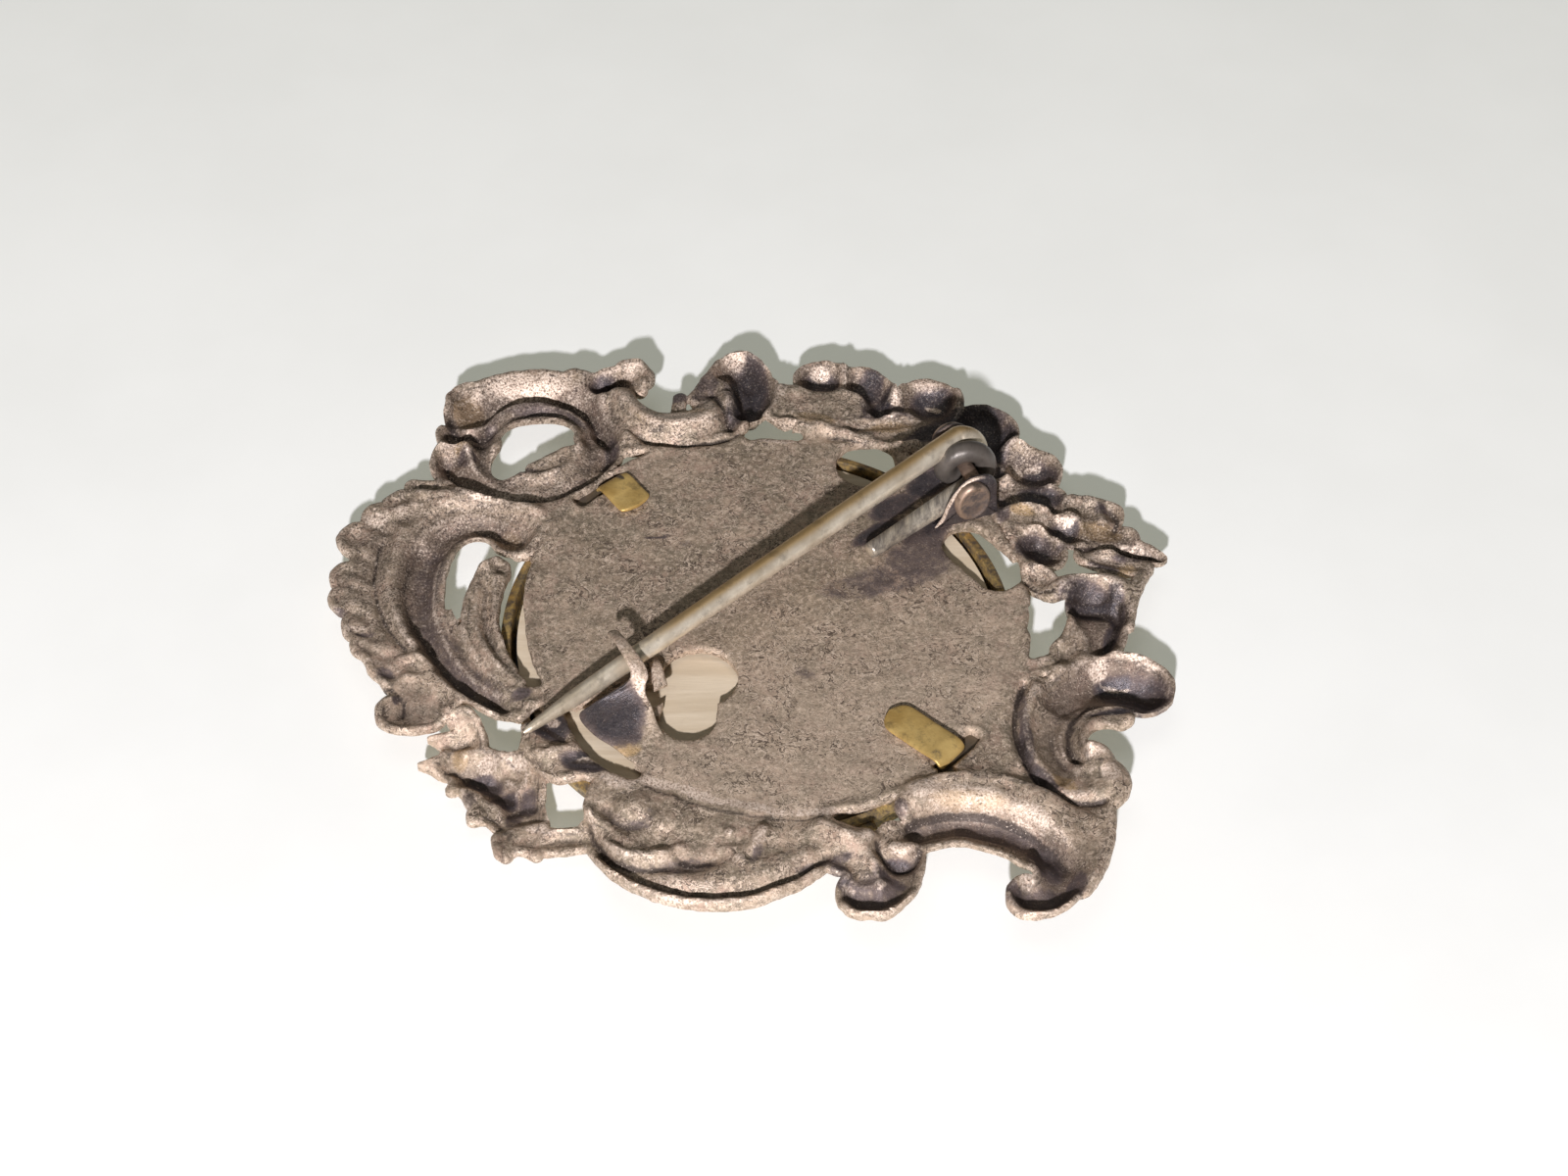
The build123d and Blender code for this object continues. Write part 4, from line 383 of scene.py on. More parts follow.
# Painted shade on the setting: round the ends of the tabs' slots, and in lines along the tabs' creases.
SLOT_SHADE = [(9.2, -8.9, 2.2, 2.2, 0, 1.0), (-9.5, 8.4, 2.2, 2.2, 0, 1.0)]
TAB_CREASE_SHADE = [(-8.2, 8.75, 0.75, 0.2, -68, 0.9), (7.9, -9.6, 0.35, 0.35, 0, 0.45)]
CATCH_TARNISH = [
    (-8.1, -6.2, 2.6, 1.6, -72, 1.0), (-7.2, -8.0, 0.9, 0.5, -50, 0.8), (-9.0, -7.6, 0.5, 0.3, -60, 0.5),
]
# Painted highlights on the catch: the top of the hook and the lit edges of the tongue and of the stub.
CATCH_HIGHLIGHTS = [
    (-7.0, -3.9, 0.5, 0.6, 0, 0.95), (-7.8, -2.3, 0.6, 0.5, 0, 0.6), (-6.3, -5.2, 0.5, 1.0, 35, 0.9),
    (-5.9, -4.1, 0.5, 0.9, 0, 0.7), (-5.6, -7.0, 0.2, 1.2, 25, 0.6), (-10.2, -7.0, 0.2, 1.2, 30, 0.6),
]
GILT = [
    (-17.0, 15.0, 0.9, 1.2, 0, 0.8), (-17.0, 11.9, 0.5, 0.6, 0, 0.7), (6.3, 13.4, 1.5, 0.5, 10, 0.7),
    (12.9, 6.9, 1.0, 0.4, -20, 0.8), (17.2, 5.8, 1.3, 0.7, -15, 0.7), (18.3, 3.0, 0.7, 0.4, 0, 0.7),
    (2.2, 13.6, 1.3, 0.6, -15, 0.6), (-15.5, -9.5, 0.5, 0.7, 0, 0.6), (-7.2, -8.9, 0.7, 0.6, 0, 0.9),
    (14.1, -10.8, 0.8, 0.5, -40, 0.7), (-14.2, 5.3, 0.9, 0.8, 0, 0.6), (-9.6, 10.4, 0.5, 1.2, -10, 0.5),
    (7.1, 11.7, 0.5, 0.35, 0, 0.8), (-13.5, 17.0, 3.0, 0.8, 0, 0.5), (-5.5, 13.6, 2.5, 0.9, 0, 0.5),
    (9.4, -12.1, 2.2, 0.5, -3, 0.6),
]

# The hinge: the rivet's middle, the turn of its axis, and where each ear starts and ends along it.
HINGE = np.array([10.0, 8.55])
HINGE_HEIGHT = 1.95
HINGE_ANGLE = -70.1
EARS = {"lower": (2.0, 2.35), "upper": (-2.0, -1.65)}
# The front ear's leaning outline, as heights over the rivet and distances to its side.
FRONT_EAR = [[-2.05, 1.15], [-1.3, 1.08], [-0.5, 1.0], [0.3, 0.95], [0.95, 0.6], [1.15, 0.0], [1.1, -0.6],
             [0.75, -1.1], [0.1, -1.55], [-0.6, -1.85], [-1.3, -2.05], [-2.05, -2.5]]
EAR_RADIUS = 1.1
EAR_FOOT = 1.35
EAR_BEVEL = 0.15
SHANK_RADIUS = 0.4
HEAD_RADIUS = 0.95
# The front head: its middle and half-sizes, out and up, and its profile of rise and share of the half-size.
BUTTON_MIDDLE = (-0.55, -0.2)
BUTTON_SIZE = (0.95, 1.25)
BUTTON = [[0.0, 1.0], [0.2, 1.02], [0.36, 0.95], [0.42, 0.84], [0.36, 0.68], [0.33, 0.4], [0.34, 0.03]]

# The pin's wire, its turns round the rivet, and its two ends.
WIRE = 0.57
COIL = 1.05
COIL_TURNS = 1.5
COIL_PITCH = 1.16725
COIL_END = -0.95
STEM_ANGLE = 219.3
STEM_LENGTH = 28.3
TAIL_LENGTH = 6.9
TAIL_HEIGHT = 0.62
CATCH_DISTANCE = 21.8
CATCH_HEIGHT = 1.2


def arc_points(x0, y0, x1, y1, x2, y2, count=13):
    """Points on the circular arc through three points, or on the line if they are straight."""
    a, b, c = (complex(*p) for p in ((x0, y0), (x1, y1), (x2, y2)))
    turn = ((b - a) * (c - a).conjugate()).imag
    share = np.linspace(0, 1, count)
    if abs(turn) < 1e-3 * abs(c - a) ** 2:
        points = a + (c - a) * share
    else:
        w = (c - a) / (b - a)
        centre = (b - a) * (w - abs(w) ** 2) / (w - w.conjugate()) + a
        start = np.angle(a - centre)
        swing = np.angle((c - centre) / (a - centre)) % (2 * pi)
        if np.angle((b - centre) / (a - centre)) % (2 * pi) > swing:
            swing -= 2 * pi
        points = centre + abs(a - centre) * np.exp(1j * (start + swing * share))
    return np.stack([points.real, points.imag], axis=1)


def band(arc, widths, x, y):
    """Distance to an arc less its half-width there, and that half-width, for whole arrays of points."""
    share = np.linspace(0, 1, len(arc))
    widths = np.interp(share, np.linspace(0, 1, len(widths)), widths)
    edge = np.full(np.shape(x), 1e9)
    beside = np.ones(np.shape(x))
    for (ax, ay), (bx, by), wa, wb in zip(arc, arc[1:], widths, widths[1:]):
        run = max((bx - ax) ** 2 + (by - ay) ** 2, 1e-9)
        t = np.clip(((x - ax) * (bx - ax) + (y - ay) * (by - ay)) / run, 0, 1)
        width = wa + t * (wb - wa)
        distance = np.hypot(x - ax - t * (bx - ax), y - ay - t * (by - ay)) - width
        nearer = distance < edge
        edge = np.where(nearer, distance, edge)
        beside = np.where(nearer, width, beside)
    return edge, beside


def near(item, x, y, reach):
    """The points of whole arrays that lie within reach of an arc's own box."""
    arc = arc_points(*item[:6])
    low, high = arc.min(axis=0) - reach, arc.max(axis=0) + reach
    return arc, (x > low[0]) & (x < high[0]) & (y > low[1]) & (y < high[1])


def past_ring(x, y):
    """Distance outside the setting's ring."""
    return np.hypot(x - BEZEL[0], y - BEZEL[1]) - BEZEL_RADIUS


def outline(x, y):
    """Distance from the edge of the stamping, minus inside the metal: the lowest of the plate's disc and the
    bands, kept above the negatives of the openings and of the tabs' slots, which are rounded boxes, and made
    slightly wavy by a product of sines. What is further off than the reach counts as the reach."""
    metal = np.minimum(np.hypot(x, y) - PLATE_RADIUS, REACH)
    for press in PRESSES.values():
        arc, pick = near(press, x, y, REACH)
        metal[pick] = np.minimum(metal[pick], band(arc, press[6:9], x[pick], y[pick])[0])
    for gap in GAPS.values():
        arc, pick = near(gap, x, y, REACH + 1.0)
        metal[pick] = np.maximum(metal[pick], -band(arc, gap[6:9], x[pick], y[pick])[0])
    corner = 0.2
    for tab in TABS.values():
        turn = radians(tab.slot_angle)
        depth = (x - BEZEL[0]) * cos(turn) + (y - BEZEL[1]) * sin(turn) - BEZEL_RADIUS + 0.15
        side = (y - BEZEL[1]) * cos(turn) - (x - BEZEL[0]) * sin(turn)
        past_end = np.maximum(abs(side) - tab.slot_length / 2 + corner, 0)
        metal = np.maximum(metal, corner - np.hypot(np.maximum(abs(depth) - corner, 0), past_end))
    wavy = np.sin(4.1 * x + 2.0 * np.sin(2.3 * y)) * np.sin(3.7 * y + 1.7 * np.sin(2.9 * x))
    return metal + 0.03 * wavy


def smooth(value):
    """A soft step from 0 to 1."""
    value = np.clip(value, 0, 1)
    return value * value * (3 - 2 * value)


def patches(table, x, y):
    """The strongest of the soft ellipses at each point: full within two thirds of its half-lengths, and gone
    at four thirds."""
    field = np.zeros(np.shape(x))
    for east, north, along, across, degrees, amount in table:
        turn = radians(degrees)
        u = ((x - east) * cos(turn) + (y - north) * sin(turn)) / along
        v = ((y - north) * cos(turn) - (x - east) * sin(turn)) / across
        field = np.maximum(field, amount * smooth((1.35 - np.hypot(u, v)) / 0.7))
    return field


def relief(x, y, edge):
    """Height of the back face over the plate. Each press digs or raises a parabola across its width, each
    mark adds a bell curve, the border droops outwards, a rolled bead runs along its rims, and smoothed random
    dents lie over all of it. The other two results are how strongly grooves and ridges mark each point."""
    low, high, up, down, grooves, ridges = (np.zeros(x.shape) for _ in range(6))
    for *shape, depth in PRESSES.values():
        arc, pick = near(shape, x, y, 2.5)
        rim, width = band(arc, shape[6:], x[pick], y[pick])
        bowl = 1 - (1 + np.clip(rim / width, -1, 0)) ** 2
        low[pick] = np.maximum(low[pick], depth * bowl)
        high[pick] = np.maximum(high[pick], -depth * bowl)
    for *line, width, height in MARKS:
        arc, pick = near(line, x, y, 3 * width)
        away = band(arc, (0, 0), x[pick], y[pick])[0]
        crisp = np.exp(-((away / min(width, 0.18)) ** 2)) * min(abs(height) / 0.42, 1)
        lift, strength = (up, ridges) if height > 0 else (down, grooves)
        lift[pick] += height * np.exp(-((away / width) ** 2))
        strength[pick] = np.maximum(strength[pick], crisp)
    outside = past_ring(x, y) - 0.1
    free = smooth(outside / 0.9)
    border = smooth((np.hypot(x, y) - PLATE_RADIUS + 1.5) / 0.8)
    bead = 0.15 * np.exp(-(((edge + 0.24) / 0.17) ** 2)) * border
    droop = EDGE_DROOP * smooth(outside / (PLATE_RADIUS / 2))
    grain = np.random.default_rng(GRAIN_SEED).normal(size=x.shape)
    dents = 0.3 * blur(grain, 5) + 0.9 * blur(grain, 40)
    height = (high + up + down * (0.35 + 0.65 * free)) * border - low * free + bead - droop
    return height + dents * (0.25 + 0.2 * border), grooves * border, ridges * border


def blur(field, times):
    """A field smoothed by the mean of each point and its neighbours, as whole arrays."""
    for _ in range(times):
        for axis in (0, 1):
            field = (np.roll(field, 1, axis) + 2 * field + np.roll(field, -1, axis)) / 4
    return field


def sample(field, x, y, xs, ys):
    """Values of a gridded field between its points, by the four nearest."""
    u = np.clip((x - xs[0]) / CELL, 0, len(xs) - 1.001)
    v = np.clip((y - ys[0]) / CELL, 0, len(ys) - 1.001)
    i, j = u.astype(int), v.astype(int)
    fu, fv = u - i, v - j
    return ((field[j, i] * (1 - fu) + field[j, i + 1] * fu) * (1 - fv)
            + (field[j + 1, i] * (1 - fu) + field[j + 1, i + 1] * fu) * fv)


def rim_edges(triangles, count):
    """The directed edges that only one triangle has."""
    edges = np.concatenate([triangles[:, [0, 1]], triangles[:, [1, 2]], triangles[:, [2, 0]]])
    key = np.minimum(edges[:, 0], edges[:, 1]) * count + np.maximum(edges[:, 0], edges[:, 1])
    _, first, times = np.unique(key, return_index=True, return_counts=True)
    return edges[first[times == 1]]


def to_rim(x, y, step=0.02):
    """Points moved onto the outline, in three strides along its slope by the distance that is left."""
    for _ in range(3):
        here = outline(x, y)
        sx = (outline(x + step, y) - outline(x - step, y)) / (2 * step)
        sy = (outline(x, y + step) - outline(x, y - step)) / (2 * step)
        size = np.maximum(sx**2 + sy**2, 0.3)
        x, y = x - here * sx / size, y - here * sy / size
    return x, y


def quads(a, b, c, d):
    """Two triangles for each four-sided face, whose corners come as four arrays."""
    return np.concatenate([np.stack([a, b, c], -1).reshape(-1, 3), np.stack([a, c, d], -1).reshape(-1, 3)])


def chequered(rows, columns):
    """Two triangles for each cell of a grid, with their diagonals turned from cell to cell."""
    corner = (np.arange(rows - 1)[:, None] * columns + np.arange(columns - 1)).ravel()
    odd = ((corner // columns + corner % columns) % 2 == 1)[:, None]
    a, b, c, d = corner, corner + 1, corner + columns + 1, corner + columns
    return np.concatenate([np.where(odd, np.stack([a, b, c], 1), np.stack([a, b, d], 1)),
                           np.where(odd, np.stack([a, c, d], 1), np.stack([b, c, d], 1))])


def stamped_sheet():
    """The stamping: a square grid of points, those outside but near moved to the outline, lifted by the
    relief, with the same grid one sheet lower as its front and a wall round every rim. Where the border dips,
    points sink and move up the plan. The fields say where it is hollow, bent, near a rim, flat plate, grooved,
    ridged, grainy, where the plate is lighter towards the bottom, and how far it dips; the groove field also holds
    a thin line inside the border's rims, which is darkened as painted shade."""
    xs, ys = np.arange(-24, 22, CELL), np.arange(-20, 21, CELL)
    gx, gy = np.meshgrid(xs, ys)
    edge = outline(gx, gy)
    height, grooves, ridges = relief(gx, gy, edge)
    height = blur(height, 1)
    x, y, away = gx.ravel().copy(), gy.ravel().copy(), edge.ravel()
    move = (away > -INNER * CELL) & (away < 3 * CELL)
    x[move], y[move] = to_rim(x[move], y[move])
    triangles = chequered(len(ys), len(xs))
    triangles = triangles[(away < -INNER * CELL)[triangles].any(axis=1)]
    used, triangles = np.unique(triangles, return_inverse=True)
    triangles = triangles.reshape(-1, 3)
    x, y, count = x[used], y[used], len(used)
    grids = (height, blur(height, 14), height - blur(height, 5), np.minimum(edge, 0), grooves, ridges)
    z, wide, bend, depth_in, grooves, ridges = (sample(grid, x, y, xs, ys) for grid in grids)
    z = z - 0.1 * smooth(1 + depth_in / 0.12)
    dip = patches(DIPS, x, y) * smooth((past_ring(x, y) - 0.5) / 1.4)
    lowest = np.maximum(z - dip + PLATE_TOP, SHEET + 0.06)
    back = np.stack([x + PLATE[0], y + SIGHT * dip + PLATE[1], lowest], axis=1)
    start, end = rim_edges(triangles, count).T
    wall = quads(end, start, start + count, end + count)
    triangles = np.concatenate([triangles, triangles[:, ::-1] + count, wall])
    plate = 1 - smooth((np.hypot(x, y) - PLATE_RADIUS + 1.0) / 1.2)
    # A thin line just inside the border's rims, which the metal's colour darkens as painted shade with the
    # grooves.
    rim_shade_line = 0.6 * np.exp(-(((depth_in + 0.42) / 0.12) ** 2)) * (1 - plate)
    # Of these fields, the hollows, grooves and concave bends end up darkened as painted shade, and ridges, rims
    # and convex bends lightened as painted highlights.
    fields = {
        "hollow": np.clip(-wide / 0.9, 0, 1),
        "bend": np.clip(bend / 0.12, -1, 1),
        "rim": smooth(1 + depth_in / 0.45),
        "plate": plate,
        "groove": np.maximum(grooves, rim_shade_line),
        "ridge": ridges,
        "clean": plate * smooth((6.0 - y + 0.25 * x) / 16.0),
        "grainy": (1 - plate) * smooth((y + 9.0) / 14.0),
        "dip": dip,
    }
    fields = {key: np.tile(values, 2) for key, values in fields.items()}
    return np.concatenate([back, back - [0, 0, SHEET]]), triangles, fields


def hinge_point(along, out, up):
    """Points of the hinge, along the rivet, out to the side and up from its axis, for numbers or arrays."""
    turn = radians(HINGE_ANGLE)
    x = PLATE[0] + HINGE[0] + along * cos(turn) - out * sin(turn)
    y = PLATE[1] + HINGE[1] + along * sin(turn) + out * cos(turn)
    return np.stack(np.broadcast_arrays(x, y, PLATE_TOP + HINGE_HEIGHT + up), -1)


def spoke(degrees):
    """The level direction at an angle, and the one to its left."""
    turn = radians(degrees)
    return np.array([cos(turn), sin(turn), 0.0]), np.array([-sin(turn), cos(turn), 0.0])


def circle(sides):
    """Even angles all the way round."""
    return np.linspace(0, 2 * pi, sides, endpoint=False)


def flow(rows, count):
    """Rows of points joined by a smooth curve through each of them, and divided into count rows."""
    rows = np.asarray(rows, float)
    t = np.linspace(0, len(rows) - 1.0001, count)
    k = t.astype(int)
    u = (t - k).reshape(-1, *[1] * (rows.ndim - 1))
    ends = np.concatenate([2 * rows[:1] - rows[1:2], rows, 2 * rows[-1:] - rows[-2:-1]])
    p0, p1, p2, p3 = ends[k], ends[k + 1], ends[k + 2], ends[k + 3]
    return (p1 + u * (p2 - p0) / 2 + u**2 * (p0 - 2.5 * p1 + 2 * p2 - p3 / 2)
            + u**3 * (1.5 * (p1 - p2) + (p3 - p0) / 2))


def loft(rings):
    """Points and triangles of a closed skin between rings of equal size, each end closed at its middle."""
    rings = np.asarray(rings, float)
    rows, sides = rings.shape[:2]
    index = np.arange(rows * sides).reshape(rows, sides)
    a, b = index[:-1], np.roll(index, -1, 1)[:-1]
    c, d = np.roll(index, -1, 1)[1:], index[1:]
    first, last = rows * sides, rows * sides + 1
    start = np.stack([np.roll(index[0], -1), index[0], np.full(sides, first)], 1)
    end = np.stack([index[-1], np.roll(index[-1], -1), np.full(sides, last)], 1)
    points = np.concatenate([rings.reshape(-1, 3), [rings[0].mean(0), rings[-1].mean(0)]])
    return points, np.concatenate([quads(a, b, c, d), start, end])


def ribbon(left, right, thickness, round_off=0.0, sides=32):
    """A bent strip of sheet between two edge lines: each cross-section is a rounded bar, a power curve of the
    angle, and the last rows narrow to a round end if round_off is set."""
    left, right = np.asarray(left, float), np.asarray(right, float)
    middle = (left + right) / 2
    forward = np.gradient(middle, axis=0)
    across = right - left
    half = np.linalg.norm(across, axis=1)[:, None] / 2
    across = across / (2 * half)
    normal = np.cross(across, forward)
    normal /= np.linalg.norm(normal, axis=1)[:, None]
    if round_off:
        run = np.concatenate([[0], np.cumsum(np.linalg.norm(np.diff(middle, axis=0), axis=1))])
        left_over = np.clip((run[-1] - run) / round_off, 0, 1)
        half = half * np.maximum(1 - (1 - left_over) ** 2.6, 0.02)[:, None] ** 0.5
    turn = circle(sides)
    flat_x = np.sign(np.cos(turn)) * abs(np.cos(turn)) ** 0.35
    flat_y = np.sign(np.sin(turn)) * abs(np.sin(turn)) ** 0.6
    edge = np.maximum(half - thickness / 2, half * 0.3)
    spread = (flat_x * edge + np.cos(turn) * (half - edge))[:, :, None]
    lift = normal[:, None] * flat_y[:, None] * thickness / 2
    return loft(middle[:, None] + across[:, None] * spread + lift)


def tube(path, radii, sides=28):
    """A round wire along a path, with a radius at each point: each ring is across the path, and turned as
    little as can be from the ring before it."""
    tangent = np.gradient(path, axis=0)
    tangent /= np.linalg.norm(tangent, axis=1)[:, None]
    frames = [np.cross(tangent[0], [0.0, 0.0, 1.0])]
    for along in tangent[1:]:
        side = frames[-1] - along * (frames[-1] @ along)
        frames.append(side / np.linalg.norm(side))
    across = np.array(frames)
    across /= np.linalg.norm(across, axis=1)[:, None]
    upward = np.cross(tangent, across)
    turn = circle(sides)[:, None]
    ring = across[:, None] * np.cos(turn) + upward[:, None] * np.sin(turn)
    return loft(path[:, None] + ring * np.asarray(radii)[:, None, None])


def lathe(profile, origin, axis, sides=96):
    """A closed skin turned about an axis: each profile row is a distance along it and a radius."""
    axis = np.asarray(axis, float)
    helper = np.cross(axis, [0.0, 0.0, 1.0] if abs(axis[2]) < 0.9 else [1.0, 0.0, 0.0])
    helper /= np.linalg.norm(helper)
    other = np.cross(axis, helper)
    turn = circle(sides)
    ring = np.cos(turn)[:, None] * helper + np.sin(turn)[:, None] * other
    profile = np.asarray(profile, float)
    return loft(origin + profile[:, 0, None, None] * axis + profile[:, 1, None, None] * ring[None])


def ring_wall(profile, centre, sides=256):
    """A closed ring turned about the upright axis at centre: its profile of radius and height goes round."""
    turn = circle(sides)
    profile = np.asarray(profile, float)
    x = centre[0] + profile[:, 0, None] * np.cos(turn)
    y = centre[1] + profile[:, 0, None] * np.sin(turn)
    z = np.repeat(profile[:, 1, None], sides, 1)
    index = np.arange(profile.shape[0] * sides).reshape(-1, sides)
    a, b = index, np.roll(index, -1, 1)
    c, d = np.roll(b, -1, 0), np.roll(a, -1, 0)
    return np.stack([x, y, z], -1).reshape(-1, 3), quads(a, b, c, d)


def slab(shape, place, thickness, bevel):
    """A flat piece of sheet: its outline is pulled in a little at both faces to round the edge. place turns
    outline arrays and a height through the sheet into points."""
    back = np.roll(shape, 1, 0) - np.roll(shape, -1, 0)
    inward = np.stack([back[:, 1], -back[:, 0]], 1)
    inward /= np.linalg.norm(inward, axis=1)[:, None]
    if np.sum(inward * (shape.mean(0) - shape)) < 0:
        inward = -inward
    levels = [(0.0, bevel), (bevel * 0.3, bevel * 0.3), (bevel, 0.0),
              (thickness - bevel, 0.0), (thickness - bevel * 0.3, bevel * 0.3), (thickness, bevel)]
    return loft([place(shape + inward * inset, level) for level, inset in levels])


def join(*pieces):
    """Several skins as one."""
    points, triangles, start = [], [], 0
    for p, t in pieces:
        points.append(p)
        triangles.append(t + start)
        start += len(p)
    return np.concatenate(points), np.concatenate(triangles)


def make(name, points, triangles, material, fields, sharp):
    """An object from a skin in millimetres, smooth except at edges sharper than so many degrees, with its
    fields as attributes."""
    mesh = bpy.data.meshes.new(name)
    mesh.from_pydata(points * MM, [], triangles)
    mesh.validate()
    mesh.shade_smooth()
    mesh.set_sharp_from_angle(angle=radians(sharp))
    for key, values in fields.items():
        layer = mesh.attributes.new(key, "FLOAT", "POINT")
        layer.data.foreach_set("value", np.asarray(values, np.float32))
    mesh.materials.append(material)
    obj = bpy.data.objects.new(name, mesh)
    bpy.context.scene.collection.objects.link(obj)
    return obj


class Shader:
    """A material made of named nodes, with short calls for the few kinds that are used."""

    def __init__(self, name, **sockets):
        self.material = bpy.data.materials.new(name)
        self.material.use_nodes = True
        self.nodes = self.material.node_tree.nodes
        self.use(**sockets)

    def link(self, value, socket):
        if isinstance(value, (int, float)):
            socket.default_value = value
        elif isinstance(value, tuple):
            socket.default_value = (*value, 1.0) if len(socket.default_value) == 4 else value
        else:
            self.material.node_tree.links.new(value, socket)

    def fill(self, node, sockets):
        for key, value in sockets.items():
            self.link(value, node.inputs[key.replace("_", " ")])
        return node

    def node(self, kind, **sockets):
        return self.fill(self.nodes.new("ShaderNode" + kind), sockets)

    def noise(self, scale, detail=4.0, roughness=0.6, stretch=None, turn=0.0, distortion=0.0):
        place = self.node("TexCoord").outputs["Object"]
        if stretch:
            place = self.node("Mapping", Vector=place, Rotation=(0, 0, turn), Scale=stretch).outputs["Vector"]
        return self.node("TexNoise", Vector=place, Scale=scale, Detail=detail, Roughness=roughness,
                         Distortion=distortion).outputs["Fac"]

    def field(self, name):
        node = self.node("Attribute")
        node.attribute_name = name
        return node.outputs["Fac"]

    def ramp(self, value, low, high, bottom=0.0, top=1.0):
        node = self.node("MapRange", Value=value, From_Min=low, From_Max=high, To_Min=bottom, To_Max=top)
        node.interpolation_type = "SMOOTHSTEP"
        return node.outputs["Result"]

    def math(self, kind, a, b=0.0):
        node = self.node("Math")
        node.operation = kind
        self.link(a, node.inputs[0])
        self.link(b, node.inputs[1])
        return node.outputs[0]

    def times(self, a, b):
        return self.math("MULTIPLY", a, b)

    def plus(self, a, b):
        return self.math("ADD", a, b)

    def less(self, a, b):
        return self.math("SUBTRACT", a, b)

    def most(self, a, b):
        return self.math("MAXIMUM", a, b)

    def mix(self, share, a, b):
        node = self.node("Mix")
        node.data_type = "RGBA"
        for value, place in ((share, 0), (a, 6), (b, 7)):
            self.link(value, node.inputs[place])
        return node.outputs[2]

    def bump(self, height, distance, strength=1.0, normal=None):
        under = {"Normal": normal} if normal else {}
        return self.node("Bump", Strength=strength, Distance=distance * MM, Height=height, **under).outputs[0]

    def use(self, **sockets):
        self.fill(self.nodes["Principled BSDF"], sockets)
        return self.material


